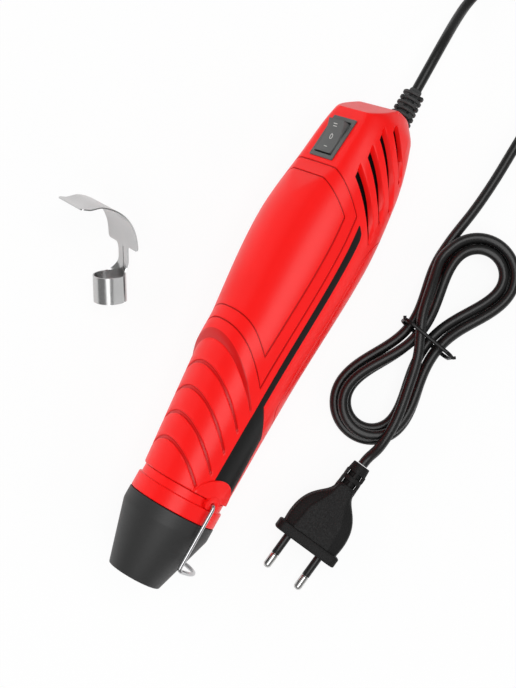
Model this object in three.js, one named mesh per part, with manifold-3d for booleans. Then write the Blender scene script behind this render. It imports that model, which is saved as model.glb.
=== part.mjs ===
// A pen-style hot air tool with its wire stand, its tied mains lead and its clip-on reflector.
// Millimetres, +Z up. The tool is drawn about its own axis: nozzle rim at x = 0, tail towards +x,
// switch side towards +z. It is then rolled on its side and laid on the table z = 0, and the
// origin is the flat on its belly where it rests.
import * as THREE from "three";
import { mergeVertices } from "three/addons/utils/BufferGeometryUtils.js";
import Module from "manifold-3d";

const wasm = await Module();
wasm.setup();

// Fits
const GAP = 0.3; // between pieces that touch
const PIVOT_PLAY = 0.15; // radial, at turning pins

// Pose on the table
const ROLL = 45; // degrees from switch up
const BELLY_FLAT = 0.3; // depth of the flat that the belly rests on

// Nose cone and collar
const CONE_RIM_R = 13.2;
const CONE_R = 22;
const CONE_TAPER = 29.6;
const CONE_BAND = 6.4;
const CONE_WALL = 2.4;
const COLLAR_R = 21.8;
const COLLAR_LENGTH = 7.7;
const GROOVE_R = 20.6;
const GROOVE_LENGTH = 4.2;
const SPIGOT_LENGTH = 6; // of the collar, inside the shells
const SPIGOT_WALL = 2;
const CONE_SPIGOT = 2; // of the cone, inside the collar
const WEB = 1.7; // collar's inner ring that carries the outlet tube

// Shells, by length from the collar to the tail and by radius at each break
const SHELL_WALL = 2;
const GRIP_LENGTH = 63.5;
const SWELL_LENGTH = 63;
const FALL_LENGTH = 34;
const SWITCH_LENGTH = 28;
const HEEL_LENGTH = 10;
const GRIP_FRONT_R = 21.6;
const GRIP_REAR_R = 24.8;
const BELLY_R = 28.55;
const FACET_R = 25.5;
const HEEL_R = 20;
const TAIL_R = 13.4;
const GRIP_REAR_RISE = 3.2; // height of the section's centre over the nozzle axis
const BELLY_RISE = 4.9;
const FACET_RISE = 4.45;
const HEEL_RISE = 6.6;
const TAIL_RISE = 7.2;
const TAIL_SQUARENESS = 0.3; // how far the tail's section goes from round to square
const FACET_DROP = 3.4; // of the flat switch face below the crown at its front
const FACET_TILT = 5.4; // degrees, falling to the tail
const HEEL_SLOPE = 55; // degrees, of the slanted end face
const STEP_HEIGHT = 1.1; // of the body's front lip over the grip
const STEP_RUN = 3.5;
const STEP_FADE = 16;
const SLANT = 1.1; // run over rise of the lip, the grip grooves and the vents

// Grip grooves
const GROOVES = 4;
const GRIP_GROOVE_PITCH = 11.2;
const GRIP_GROOVE_WIDTH = 1.6;
const GRIP_GROOVE_DEPTH = 0.8;
const GRIP_GROOVE_END = 7.5; // height over the axis where the grooves stop

// Vents, from the nose end to the tail: how high and how low each slot reaches
const VENT_PITCH = 12.2;
const VENT_WIDTH = 3.2;
const VENT_FIRST = 185; // where the first slot would cross the axis, from the rim
const VENT_TOPS = [20.5, 19, 17.5, 12.5];
const VENT_ENDS = [1, -3, -8, -6];
const VENT_REACH = 9; // how far a slot's cutter reaches in from the widest point of the wall

// Stand
const WIRE_R = 1;
const LEG_PLAY = 0.785; // between the wire's loop and the widest part of the cone
const LEG_LENGTH = 33;
const PIN_LENGTH = 5.4;
const EAR_R = 12;
const EAR_PROUD = 0.9; // of the round pads at the pivots over the grip
const BOSS_R = 4.3;

// Label on the side
const LABEL_THICKNESS = 0.3;
const LABEL_WIDE = 17;
const LABEL_NARROW = 3.8;
const LABEL_TOP = 5.8; // upper edge at the nose end, over the axis
const LABEL_CLIMB = 4.2; // rise of the upper edge to the tail
const LABEL_LENGTH = 131;
const LABEL_WIDE_LENGTH = 24;
const LABEL_TAPER = 14;

// Outlet tube and heater
const TUBE_R = 7.9;
const TUBE_WALL = 0.6;
const TUBE_RECESS = 1.5;
const TUBE_STRAIGHT = 24.5;
const TUBE_FUNNEL = 12;
const TUBE_REAR = 6;
const SLEEVE_R = 14.5;
const SLEEVE_WALL = 0.6;
const SLEEVE_LENGTH = 66;
const COIL_TURNS = 9;
const COIL_LENGTH = 46;
const COIL_WIRE_R = 0.5;
const MICA = 1; // thickness of the heater's crossed plates
const FRAME_LENGTH = 54;
const CUTOUT_SIZE = 3.2;
const CUTOUT_LENGTH = 8;
const TERMINAL_BLOCK = 5;

// Fan, motor and their carrier
const FAN_R = 16.5;
const FAN_HUB_R = 5.5;
const FAN_LENGTH = 12;
const FAN_BLADES = 6;
const BLADE_CHORD = 12;
const BLADE_THICKNESS = 1.2;
const BLADE_PITCH = 42; // degrees
const FAN_TIP_GAP = 0.8;
const GUIDE_WALL = 1.4;
const GUIDE_SOCKET = 6;
const GUIDE_CONE = 11;
const SHROUD_LENGTH = 18;
const MOTOR_R = 13.8;
const MOTOR_LENGTH = 32;
const MOTOR_WALL = 1.2;
const MOTOR_NOSE_R = 4;
const MOTOR_NOSE = 2.5;
const END_CAP = 5;
const ARMATURE_R = 11.2;
const ARMATURE_LENGTH = 22;
const SHAFT_R = 1.15;
const SHAFT_SEAT = 3; // of the shaft's tail in the end cap
const RIB = 2;
const SPOKE = 8; // width of the shells' ribs that carry the guide and the motor

// Rectifier board behind the motor
const TAB_LENGTH = 6.5;
const TAB_SPACING = 14;
const BOARD_WIDTH = 24;
const BOARD_HEIGHT = 20;
const BOARD_THICKNESS = 1.6;
const DIODE_R = 1.3;
const DIODE_LENGTH = 5.2;
const DIODE_PITCH = 5;

// Rocker switch
const BEZEL_LENGTH = 21.9;
const BEZEL_WIDTH = 15.2;
const BEZEL_HEIGHT = 1.4;
const SWITCH_BODY_LENGTH = 20;
const SWITCH_BODY_WIDTH = 13;
const SWITCH_DEPTH = 14;
const WELL_DEPTH = 7.5;
const ROCKER_LENGTH = 16;
const ROCKER_WIDTH = 10.4;
const ROCKER_RISE = 3.2; // of each end over the pivot
const ROCKER_DIP = 1.6; // of the middle over the pivot
const ROCKER_HALF_THROW = 11; // degrees either way of level
const ROCKER_PIN_R = 0.9;
const ROCKER_PLAY = 0.4;
const BLADE_WIDTH = 4.8;
const BLADE_LENGTH = 8;
const BLADE_GAUGE = 0.8;
const BLADE_SPACING = 6.5;

// Screws
const SCREW_R = 1.3;
const SCREW_HEAD_R = 2.7;
const SCREW_HEAD = 2;
const SCREW_GRIP = 9; // length of shank in the upper boss
const SCREW_BOSS_R = 3.1;
const FRONT_SCREW_Y = 18.6;
const FRONT_SCREW_BACK = 18.5; // in front of the body's lip
const REAR_SCREW_Y = 12;
const REAR_SCREW_AFT = 21; // behind the belly

// Cord entry
const CORD_R = 2.5;
const CORD_DROP = 6.5; // of the cord entry below the nozzle axis
const RELIEF_CORE_R = 3.8;
const RELIEF_RIB_R = 6;
const RELIEF_RIBS = 6;
const RELIEF_PITCH = 2.8;
const RELIEF_RIB = 1.4;
const RELIEF_NOSE = 0.8; // plain end past the last rib
const RELIEF_SEAT = 11; // how far the relief reaches into the shell from the tail
const GLAND_R = 6.6;
const GLAND_PROUD = 3.5; // how far the gland boss stops short of the tail
const CLAMP_AHEAD = 17; // middle of the cord clamp, ahead of the tail
const CLAMP_LENGTH = 7;
const CLAMP_WIDTH = 22;
const CLAMP_THICKNESS = 3;
const CLAMP_SCREW_Y = 7;
const CLAMP_SCREW_R = 1.2;
const CLAMP_SCREW_LENGTH = 8;
const POST_R = 3;
const INNER_CORD = 14;
const CORE_R = 0.9;
const LEAD_BEND = 1.2; // radius of the inner wires' bends

// Hank of the lead
const HANK_CENTRE = [-10.5, -71];
const HANK_AXIS = -10.5; // degrees, of its long axis from +x
const HANK_LOBE_R = 20.6;
const HANK_HALF = 40; // from the middle to the centre of each end lobe
const HANK_WAIST = 10.6; // half width between the outer strands at the tie
const HANK_PITCH = 5.5;
const HANK_TURNS_IN = 1.64; // turns of the lower layer
const HANK_STEPS = 24;
const HANK_SIDES = 6;
const HANK_END = 3; // turns in all
const TIE_WIDTH = 2.4;
const TIE_THICKNESS = 0.8;
const TIE_ROOM = 16; // half length of the low hump over the tie

// Plug
const PLUG_AT = [-126.5, -67.6]; // middle of its front face
const PLUG_TURN = 173; // degrees, the way the pins point
const PLUG_WIDTH = 34;
const PLUG_THICKNESS = 13.7;
const PLUG_PLATE = 5.2;
const PLUG_SHOULDER = 30.6;
const PLUG_BODY = 34;
const PLUG_NECK = 10.4;
const PLUG_NECK_LENGTH = 14;
const PIN_SPACING = 18;
const PIN_R = 2;
const PIN_PROUD = 18.5;
const PIN_CORE_R = 1.3;
const PIN_SEAT = 5;
const SLEEVED = 10.5;
const PIN_SLEEVE_R = 1.95;

// Reflector
const SHEET = 0.6;
const RING_R = 8;
const RING_HEIGHT = 13;
const SLIT = 1.3;
const SLIT_TURNS = [128, -35]; // degrees about the ring from the open side
const STEM_WIDTH = 11;
const STEM_LENGTH = 14;
const SCOOP_WIDTH = 35; // at the stem
const LIP_WIDTH = 28;
const SCOOP_HEIGHT = 23.4;
const SCOOP_DEPTH = 26.4;
const SCOOP_SQUARENESS = 2.6; // 2 for a plain quarter of an ellipse
const REFLECTOR_AT = [-68.7, 71.4];
const REFLECTOR_HEADING = 29.3; // degrees, of the ring's axis on the table
const REFLECTOR_PITCH = 22; // degrees, ring's axis over the table
const REFLECTOR_SPIN = 62; // degrees about the ring's axis

const rad = THREE.MathUtils.degToRad;
const { cos, sin, tan, abs, sign, sqrt, min, max, PI } = Math;

// Places along the tool, from the nozzle rim
const X_CONE = CONE_TAPER + CONE_BAND;
const X_COLLAR = X_CONE + GAP;
const X_GROOVE = X_COLLAR + COLLAR_LENGTH;
const X_SHELL = X_GROOVE + GROOVE_LENGTH + GAP;
const X_STEP = X_SHELL + GRIP_LENGTH;
const X_BELLY = X_STEP + SWELL_LENGTH;
const X_FACET = X_BELLY + FALL_LENGTH;
const X_HEEL = X_FACET + SWITCH_LENGTH;
const X_TAIL = X_HEEL + HEEL_LENGTH;
const X_PIVOT = X_GROOVE + 0.7 * GROOVE_LENGTH;
const LEG_Y = CONE_R + LEG_PLAY + WIRE_R;
const BELLY_HEIGHT = BELLY_R - BELLY_RISE * sin(rad(ROLL)) - BELLY_FLAT;
const AXIS_HEIGHT = max(BELLY_HEIGHT, LEG_Y + WIRE_R); // it rests on its belly, the loop just off the table
const EAR_FACE = LEG_Y - WIRE_R - GAP;

// Solids and meshes

function bareGeometry(geometry) {
  const bare = geometry.index ? geometry.toNonIndexed() : geometry.clone();
  const position = bare.getAttribute("position");
  const merged = mergeVertices(new THREE.BufferGeometry().setAttribute("position", position), 1e-4);
  const corners = merged.index.array;
  const kept = [];
  for (let i = 0; i < corners.length; i += 3) {
    const [a, b, c] = [corners[i], corners[i + 1], corners[i + 2]];
    if (a !== b && b !== c && c !== a) kept.push(a, b, c);
  }
  return merged.setIndex(kept);
}

function solid(geometry) {
  const bare = bareGeometry(geometry);
  const made = new wasm.Manifold(
    new wasm.Mesh({
      numProp: 3,
      vertProperties: bare.getAttribute("position").array,
      triVerts: Uint32Array.from(bare.index.array),
    }),
  );
  return made.volume() < 0 ? solid(turnedOut(bare)) : made;
}

function turnedOut(geometry) {
  const corners = Array.from(geometry.index.array);
  for (let i = 0; i < corners.length; i += 3) {
    [corners[i + 1], corners[i + 2]] = [corners[i + 2], corners[i + 1]];
  }
  return geometry.clone().setIndex(corners);
}

function geometryOf(made) {
  const mesh = made.getMesh();
  const geometry = new THREE.BufferGeometry();
  geometry.setAttribute("position", new THREE.BufferAttribute(Float32Array.from(mesh.vertProperties), 3));
  geometry.setIndex(new THREE.BufferAttribute(Uint32Array.from(mesh.triVerts), 1));
  const flat = geometry.toNonIndexed();
  flat.computeVertexNormals();
  return flat;
}

const join = (...solids) => solids.reduce((all, next) => all.add(next));
const cut = (body, ...tools) => tools.reduce((left, tool) => left.subtract(tool), body);

function box(x0, x1, y0, y1, z0, z1) {
  const geometry = new THREE.BoxGeometry(x1 - x0, y1 - y0, z1 - z0);
  return solid(geometry.translate((x0 + x1) / 2, (y0 + y1) / 2, (z0 + z1) / 2));
}

// A round bar along x, y or z.
function bar(axis, from, to, radius, [a, b], sides = 20) {
  const geometry = new THREE.CylinderGeometry(radius, radius, to - from, sides);
  const middle = (from + to) / 2;
  if (axis === "x") return solid(geometry.rotateZ(PI / 2).translate(middle, a, b));
  if (axis === "y") return solid(geometry.translate(a, middle, b));
  return solid(geometry.rotateX(PI / 2).translate(a, b, middle));
}

// A ring turned about the tool's axis from a closed outline of [x, radius] points.
function turned(outline, sides = 36) {
  const points = [...outline, outline[0]].map(([x, r]) => new THREE.Vector2(r, x));
  return solid(new THREE.LatheGeometry(points, sides).rotateZ(-PI / 2));
}

function shapeOf(points) {
  return new THREE.Shape(points.map(([x, y]) => new THREE.Vector2(x, y)));
}

// An outline of [x, z] points drawn out from y0 to y1.
function plate(points, y0, y1) {
  const geometry = new THREE.ExtrudeGeometry(shapeOf(points), { depth: y1 - y0, bevelEnabled: false });
  return solid(geometry.rotateX(PI / 2).translate(0, y1, 0));
}

// A tube that passes through every point given, with flat ends.
function sweep(points, radius, sides) {
  const place = [];
  const index = [];
  let normal = null;
  points.forEach((point, i) => {
    const before = points[max(i - 1, 0)];
    const after = points[min(i + 1, points.length - 1)];
    const along = after.clone().sub(before).normalize();
    if (!normal) normal = new THREE.Vector3(abs(along.z) > 0.9 ? 1 : 0, 0, abs(along.z) > 0.9 ? 0 : 1);
    normal.addScaledVector(along, -normal.dot(along)).normalize();
    const across = along.clone().cross(normal);
    for (let k = 0; k < sides; k++) {
      const turn = (2 * PI * (k + 0.5)) / sides;
      const edge = point.clone().addScaledVector(normal, radius * cos(turn));
      place.push(edge.addScaledVector(across, radius * sin(turn)).toArray());
    }
  });
  const last = (points.length - 1) * sides;
  for (let ring = 0; ring < last; ring += sides) {
    for (let k = 0; k < sides; k++) {
      const next = (k + 1) % sides;
      index.push(ring + k, ring + next, ring + sides + next);
      index.push(ring + k, ring + sides + next, ring + sides + k);
    }
  }
  for (let k = 1; k < sides - 1; k++) {
    index.push(0, k + 1, k);
    index.push(last, last + k, last + k + 1);
  }
  const geometry = new THREE.BufferGeometry();
  geometry.setAttribute("position", new THREE.Float32BufferAttribute(place.flat(), 3));
  return solid(geometry.setIndex(index));
}

// A plain cord along a smooth curve through the points.
function cordTube(points, radius, sides, step) {
  const path = new THREE.CatmullRomCurve3(points, false, "centripetal");
  const section = shapeOf(
    Array.from({ length: sides }, (_, k) => {
      const turn = (2 * PI * (k + 0.5)) / sides;
      return [radius * cos(turn), radius * sin(turn)];
    }),
  );
  const steps = Math.ceil(path.getLength() / step);
  return solid(new THREE.ExtrudeGeometry(section, { steps, extrudePath: path }));
}

const vector = ([x, y, z]) => new THREE.Vector3(x, y, z);

// A polyline with its inner corners rounded by short arcs of the given radius.
function rounded(points, radius, pieces = 4) {
  const corners = points.map(vector);
  const path = [corners[0]];
  for (let i = 1; i < corners.length - 1; i++) {
    const back = corners[i - 1].clone().sub(corners[i]).normalize();
    const on = corners[i + 1].clone().sub(corners[i]).normalize();
    const bend = PI - back.angleTo(on);
    const reach = radius * tan(bend / 2);
    const curve = new THREE.QuadraticBezierCurve3(
      corners[i].clone().addScaledVector(back, reach),
      corners[i],
      corners[i].clone().addScaledVector(on, reach),
    );
    path.push(...curve.getPoints(pieces));
  }
  path.push(corners[corners.length - 1]);
  return path;
}

const look = (color, roughness, metalness) => new THREE.MeshStandardMaterial({ color, roughness, metalness });
const RED = look(0xe8211c, 0.42, 0);
const BLACK = look(0x262626, 0.55, 0);
const CHARCOAL = look(0x3c3c3c, 0.5, 0);
const LABEL_BLACK = look(0x161616, 0.4, 0);
const STEEL = look(0xc9cbce, 0.25, 1);
const BRASS = look(0xb59a55, 0.35, 1);
const COPPER = look(0xb56a3c, 0.4, 1);
const NICHROME = look(0x77736d, 0.45, 1);
const MICA_SHEET = look(0xb9a781, 0.6, 0);
const CERAMIC = look(0xe6e2d6, 0.7, 0);
const NYLON = look(0xd8d6cc, 0.6, 0);
const BOARD_GREEN = look(0x2f6b3c, 0.6, 0);

function add(parent, name, made, material) {
  const mesh = new THREE.Mesh(geometryOf(made), material);
  mesh.name = name;
  parent.add(mesh);
}

// The outside of the shells

const smooth = (t) => {
  const s = min(max(t, 0), 1);
  return s * s * (3 - 2 * s);
};

// A smooth line through [x, value] points, level at the ends and at peaks.
function through(points) {
  const slope = points.map(([x, v], i) => {
    if (i === 0 || i === points.length - 1) return 0;
    const before = (v - points[i - 1][1]) / (x - points[i - 1][0]);
    const after = (points[i + 1][1] - v) / (points[i + 1][0] - x);
    return before * after <= 0 ? 0 : (2 * before * after) / (before + after);
  });
  slope[0] = (points[1][1] - points[0][1]) / (points[1][0] - points[0][0]);
  const end = points.length - 1;
  slope[end] = (points[end][1] - points[end - 1][1]) / (points[end][0] - points[end - 1][0]);
  return (x) => {
    let i = 0;
    while (i < end - 1 && x > points[i + 1][0]) i++;
    const span = points[i + 1][0] - points[i][0];
    const t = min(max((x - points[i][0]) / span, 0), 1);
    const s = t * t * (3 - 2 * t);
    const lead = t * (1 - t) * (1 - t) * span * slope[i];
    const trail = t * t * (t - 1) * span * slope[i + 1];
    return points[i][1] * (1 - s) + points[i + 1][1] * s + lead + trail;
  };
}

const reach = through([
  [X_SHELL, GRIP_FRONT_R],
  [X_STEP, GRIP_REAR_R],
  [X_BELLY, BELLY_R],
  [X_FACET, FACET_R],
  [X_HEEL, HEEL_R],
  [X_TAIL, TAIL_R],
]);
const rise = through([
  [X_SHELL, 0],
  [X_STEP, GRIP_REAR_RISE],
  [X_BELLY, BELLY_RISE],
  [X_FACET, FACET_RISE],
  [X_HEEL, HEEL_RISE],
  [X_TAIL, TAIL_RISE],
]);
const facetFront = rise(X_FACET) + reach(X_FACET) - FACET_DROP;
const facetHeight = (x) => facetFront - (x - X_FACET) * tan(rad(FACET_TILT));

// How high the section may reach: open over the body, the switch face and then the slanted end.
function ceiling(x) {
  const open = rise(x) + reach(x);
  const facet = facetHeight(min(x, X_HEEL));
  if (x <= X_FACET) return open + (facet - open) * smooth((x - X_BELLY) / FALL_LENGTH) ** 3;
  return facet - max(x - X_HEEL, 0) * tan(rad(HEEL_SLOPE));
}

// Distance behind the body's front lip, along the slant.
const X_LIP = X_STEP - SLANT * (rise(X_STEP) + reach(X_STEP));
const behindLip = (x, z) => x - SLANT * z - X_LIP;

function sectionPoint(x, turn, inset, plain) {
  const square = 2 + TAIL_SQUARENESS * smooth((x - X_BELLY) / (X_HEEL - X_BELLY));
  const half = reach(x) * 2 ** (1 / square - 0.5) - inset;
  const bulge = (v) => sign(v) * abs(v) ** (2 / square);
  let y = half * bulge(sin(turn));
  let z = half * bulge(cos(turn));
  const past = behindLip(x, rise(x) + z);
  const lip = STEP_HEIGHT * smooth(past / STEP_RUN) * (1 - smooth((past - STEP_RUN) / STEP_FADE));
  if (!plain && z > 0) {
    const swell = 1 + (lip * smooth(z / half)) / half;
    y *= swell;
    z *= swell;
  }
  return [x, y, min(rise(x) + z, ceiling(x) - inset)];
}

// A closed body with a section at each x, its surface the given inset inside the outside.
function loft(stations, around, inset, plain = false) {
  const place = [];
  const index = [];
  stations.forEach((x) => {
    for (let k = 0; k < around; k++) place.push(sectionPoint(x, (2 * PI * k) / around, inset, plain));
  });
  const last = (stations.length - 1) * around;
  for (let ring = 0; ring < last; ring += around) {
    for (let k = 0; k < around; k++) {
      const next = (k + 1) % around;
      index.push(ring + k, ring + next, ring + around + next);
      index.push(ring + k, ring + around + next, ring + around + k);
    }
  }
  for (const start of [0, last]) {
    const hub = place.length;
    place.push([place[start][0], 0, rise(place[start][0])]);
    for (let k = 0; k < around; k++) {
      const pair = [start + k, start + ((k + 1) % around)];
      if (start === 0) pair.reverse();
      index.push(hub, ...pair);
    }
  }
  const geometry = new THREE.BufferGeometry();
  geometry.setAttribute("position", new THREE.Float32BufferAttribute(place.flat(), 3));
  return solid(geometry.setIndex(index));
}

function between(x0, x1, count) {
  return Array.from({ length: count }, (_, i) => x0 + ((x1 - x0) * i) / count);
}

const OUTER_STATIONS = [
  ...between(X_SHELL, X_STEP - GRIP_LENGTH / 3, 4),
  ...between(X_STEP - GRIP_LENGTH / 3, X_STEP + STEP_FADE, 9),
  ...between(X_STEP + STEP_FADE, X_FACET, 8),
  ...between(X_FACET, X_HEEL, 3),
  ...between(X_HEEL, X_TAIL, 3),
  X_TAIL,
];
const AROUND = 32;
const outside = (inset) => loft(OUTER_STATIONS, AROUND, inset);

const INNER_STATIONS = [
  ...between(X_SHELL - SHELL_WALL, X_BELLY, 7),
  ...between(X_BELLY, X_HEEL, 4),
  ...between(X_HEEL, X_TAIL - SHELL_WALL, 2),
  X_TAIL - SHELL_WALL,
];
const hollow = loft(INNER_STATIONS, AROUND, SHELL_WALL, true);

// The tool and its pose

const part = new THREE.Group();
const tool = new THREE.Group();
tool.rotation.x = -rad(ROLL);
tool.position.set(-X_BELLY, -BELLY_RISE * sin(rad(ROLL)), AXIS_HEIGHT);
part.add(tool);
const BIG = 4 * X_TAIL;

// The nose: cone, collar, outlet tube and heater

const spigotR = GRIP_FRONT_R - SHELL_WALL - GAP;
const spigotBore = spigotR - SPIGOT_WALL;
const tubeRearR = SLEEVE_R + GAP + TUBE_WALL;
const webBore = tubeRearR + GAP;
const coneSeatR = COLLAR_R - SPIGOT_WALL;
const tubeFunnelX = TUBE_RECESS + TUBE_STRAIGHT;
const tubeRearX = tubeFunnelX + TUBE_FUNNEL;
const webX = X_COLLAR + CONE_SPIGOT;
const sleeveX = tubeRearX + GAP;
const sleeveEnd = sleeveX + SLEEVE_LENGTH;
const sleeveBore = SLEEVE_R - SLEEVE_WALL;
const coilR = sleeveBore - GAP - COIL_WIRE_R;
const frameHalf = coilR - COIL_WIRE_R - GAP;
const frameX = sleeveX + (SLEEVE_LENGTH - FRAME_LENGTH) / 2;

function makeNose() {
  const coneBore = coneSeatR - GAP - CONE_WALL;
  const rimBore = CONE_RIM_R - CONE_WALL;
  const cone = turned([
    [0, CONE_RIM_R],
    [CONE_TAPER, CONE_R],
    [X_CONE, CONE_R],
    [X_CONE, coneSeatR - GAP],
    [X_CONE + CONE_SPIGOT, coneSeatR - GAP],
    [X_CONE + CONE_SPIGOT, coneBore],
    [CONE_TAPER, coneBore],
    [TUBE_RECESS, rimBore],
    [0, rimBore],
  ]);
  add(tool, "nose_cone", cone, CHARCOAL);

  const ring = turned([
    [X_COLLAR, COLLAR_R],
    [X_GROOVE, COLLAR_R],
    [X_GROOVE, GROOVE_R],
    [X_GROOVE + GROOVE_LENGTH, GROOVE_R],
    [X_GROOVE + GROOVE_LENGTH, spigotR],
    [X_SHELL + SPIGOT_LENGTH, spigotR],
    [X_SHELL + SPIGOT_LENGTH, spigotBore],
    [webX + WEB, spigotBore],
    [webX + WEB, webBore],
    [webX, webBore],
    [webX, coneSeatR],
    [X_COLLAR, coneSeatR],
  ]);
  add(tool, "collar_ring", cut(ring, pivotBore()), RED);

  const bore = TUBE_R - TUBE_WALL;
  const tube = turned([
    [TUBE_RECESS, TUBE_R],
    [tubeFunnelX, TUBE_R],
    [tubeRearX, tubeRearR],
    [tubeRearX + TUBE_REAR, tubeRearR],
    [tubeRearX + TUBE_REAR, tubeRearR - TUBE_WALL],
    [tubeRearX, tubeRearR - TUBE_WALL],
    [tubeFunnelX, bore],
    [TUBE_RECESS, bore],
  ]);
  add(tool, "outlet_tube", tube, STEEL);

  const sleeve = turned([
    [sleeveX, SLEEVE_R],
    [sleeveEnd, SLEEVE_R],
    [sleeveEnd, sleeveBore],
    [sleeveX, sleeveBore],
  ]);
  add(tool, "mica_sleeve", sleeve, MICA_SHEET);

  const upright = box(frameX, frameX + FRAME_LENGTH, -MICA / 2, MICA / 2, -frameHalf, frameHalf);
  const level = box(frameX, frameX + FRAME_LENGTH, -frameHalf, frameHalf, -MICA / 2, MICA / 2);
  add(tool, "heater_frame", join(upright, level), MICA_SHEET);

  const coilX = frameX + (FRAME_LENGTH - COIL_LENGTH) / 2;
  const coilSteps = 12;
  const coil = Array.from({ length: COIL_TURNS * coilSteps + 1 }, (_, i) => {
    const turn = (2 * PI * i) / coilSteps;
    const x = coilX + (COIL_LENGTH * i) / (COIL_TURNS * coilSteps);
    return new THREE.Vector3(x, coilR * sin(turn), coilR * cos(turn));
  });
  add(tool, "heating_coil", sweep(coil, COIL_WIRE_R, 5), NICHROME);

  const side = MICA / 2 + GAP;
  const cutoutEnd = frameX + FRAME_LENGTH;
  const cutout = box(cutoutEnd - CUTOUT_LENGTH, cutoutEnd, side, side + CUTOUT_SIZE, side, side + CUTOUT_SIZE);
  add(tool, "thermal_cutout", cutout, CERAMIC);

  const blockZ = SLEEVE_R + GAP;
  const blockEnd = sleeveEnd - GUIDE_SOCKET - GAP;
  const half = TERMINAL_BLOCK + CORE_R;
  const block = box(blockEnd - TERMINAL_BLOCK, blockEnd, -half, half, blockZ, blockZ + TERMINAL_BLOCK / 2);
  add(tool, "heater_terminal_block", block, CERAMIC);
}

// The fan's guide, the fan, the motor and the rectifier board

const guideLipX = sleeveEnd + GAP;
const shroudX = guideLipX + GUIDE_CONE;
const shroudEnd = shroudX + SHROUD_LENGTH;
const shroudBore = FAN_R + FAN_TIP_GAP;
const shroudR = shroudBore + GUIDE_WALL;
const fanX = shroudX + (SHROUD_LENGTH - FAN_LENGTH) / 2;
const motorX = shroudEnd + MOTOR_NOSE + FAN_TIP_GAP;
const motorEnd = motorX + MOTOR_LENGTH;
const capEnd = motorEnd + GAP + END_CAP;
const boardX = capEnd + TAB_LENGTH + 2 * GAP;

function makeFanAndMotor() {
  const socketBore = SLEEVE_R + GAP;
  const lipBore = sleeveBore;
  const guide = turned([
    [sleeveEnd - GUIDE_SOCKET, socketBore + GUIDE_WALL],
    [guideLipX, socketBore + GUIDE_WALL],
    [shroudX, shroudR],
    [shroudEnd, shroudR],
    [shroudEnd, shroudBore],
    [shroudX, shroudBore],
    [guideLipX + GUIDE_WALL, lipBore],
    [guideLipX, lipBore],
    [guideLipX, socketBore],
    [sleeveEnd - GUIDE_SOCKET, socketBore],
  ]);
  add(tool, "air_guide", guide, NYLON);

  const bladeRoot = FAN_HUB_R - BLADE_THICKNESS;
  const bladeHeight = FAN_R - bladeRoot;
  const middle = fanX + FAN_LENGTH / 2;
  const blades = Array.from({ length: FAN_BLADES }, (_, i) => {
    const blade = new THREE.BoxGeometry(BLADE_CHORD, BLADE_THICKNESS, bladeHeight);
    blade.translate(0, 0, bladeHeight / 2).rotateZ(rad(BLADE_PITCH)).translate(0, 0, bladeRoot);
    return solid(blade.rotateX((2 * PI * i) / FAN_BLADES).translate(middle, 0, 0));
  });
  const hub = bar("x", fanX, fanX + FAN_LENGTH, FAN_HUB_R, [0, 0]);
  const tips = bar("x", fanX - BLADE_CHORD, fanX + 2 * BLADE_CHORD, FAN_R, [0, 0], 36);
  const hubBore = bar("x", fanX - BLADE_CHORD, fanX + 2 * BLADE_CHORD, SHAFT_R + GAP, [0, 0], 12);
  add(tool, "fan_impeller", cut(join(hub, ...blades).intersect(tips), hubBore), BLACK);

  const shaft = bar("x", fanX, motorEnd + GAP + SHAFT_SEAT, SHAFT_R, [0, 0], 12);
  add(tool, "motor_shaft", shaft, STEEL);

  const armatureX = motorX + (MOTOR_LENGTH + MOTOR_WALL - ARMATURE_LENGTH) / 2;
  const core = bar("x", armatureX, armatureX + ARMATURE_LENGTH, ARMATURE_R, [0, 0], 24);
  const coreBore = bar("x", armatureX - 1, armatureX + ARMATURE_LENGTH + 1, SHAFT_R + GAP, [0, 0], 12);
  add(tool, "armature", cut(core, coreBore), COPPER);

  const shaftBore = SHAFT_R + PIVOT_PLAY;
  const can = turned([
    [motorX - MOTOR_NOSE, MOTOR_NOSE_R],
    [motorX, MOTOR_NOSE_R],
    [motorX, MOTOR_R],
    [motorEnd, MOTOR_R],
    [motorEnd, MOTOR_R - MOTOR_WALL],
    [motorX + MOTOR_WALL, MOTOR_R - MOTOR_WALL],
    [motorX + MOTOR_WALL, shaftBore],
    [motorX - MOTOR_NOSE, shaftBore],
  ]);
  add(tool, "motor_can", can, STEEL);

  const cap = turned([
    [motorEnd + GAP, MOTOR_R],
    [capEnd, MOTOR_R],
    [capEnd, 0],
    [motorEnd + GAP + SHAFT_SEAT + GAP, 0],
    [motorEnd + GAP + SHAFT_SEAT + GAP, shaftBore],
    [motorEnd + GAP, shaftBore],
  ]);
  add(tool, "motor_end_cap", cap, NYLON);

  for (const [i, y] of [-TAB_SPACING / 2, TAB_SPACING / 2].entries()) {
    const tab = box(capEnd + GAP, capEnd + GAP + TAB_LENGTH, y - 1.5, y + 1.5, -0.4, 0.4);
    add(tool, "motor_tab_" + (i + 1), tab, BRASS);
  }

  const [halfWidth, halfHeight] = [BOARD_WIDTH / 2, BOARD_HEIGHT / 2];
  const boardEnd = boardX + BOARD_THICKNESS;
  add(tool, "rectifier_board", box(boardX, boardEnd, -halfWidth, halfWidth, -halfHeight, halfHeight), BOARD_GREEN);
  for (let i = 0; i < 4; i++) {
    const y = (i - 1.5) * DIODE_PITCH;
    const diode = bar("z", -DIODE_LENGTH / 2, DIODE_LENGTH / 2, DIODE_R, [boardEnd + GAP + DIODE_R, y], 10);
    add(tool, "diode_" + (i + 1), diode, BLACK);
  }
}

// The rocker switch, in a frame on the switch face: x along the face, z out of it.

const switchX = (X_FACET + X_HEEL) / 2 - 2.3;
const switchFrame = new THREE.Group();
switchFrame.position.set(switchX, 0, facetHeight(switchX));
switchFrame.rotation.y = rad(FACET_TILT);
switchFrame.updateMatrix();
tool.add(switchFrame);

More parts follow.
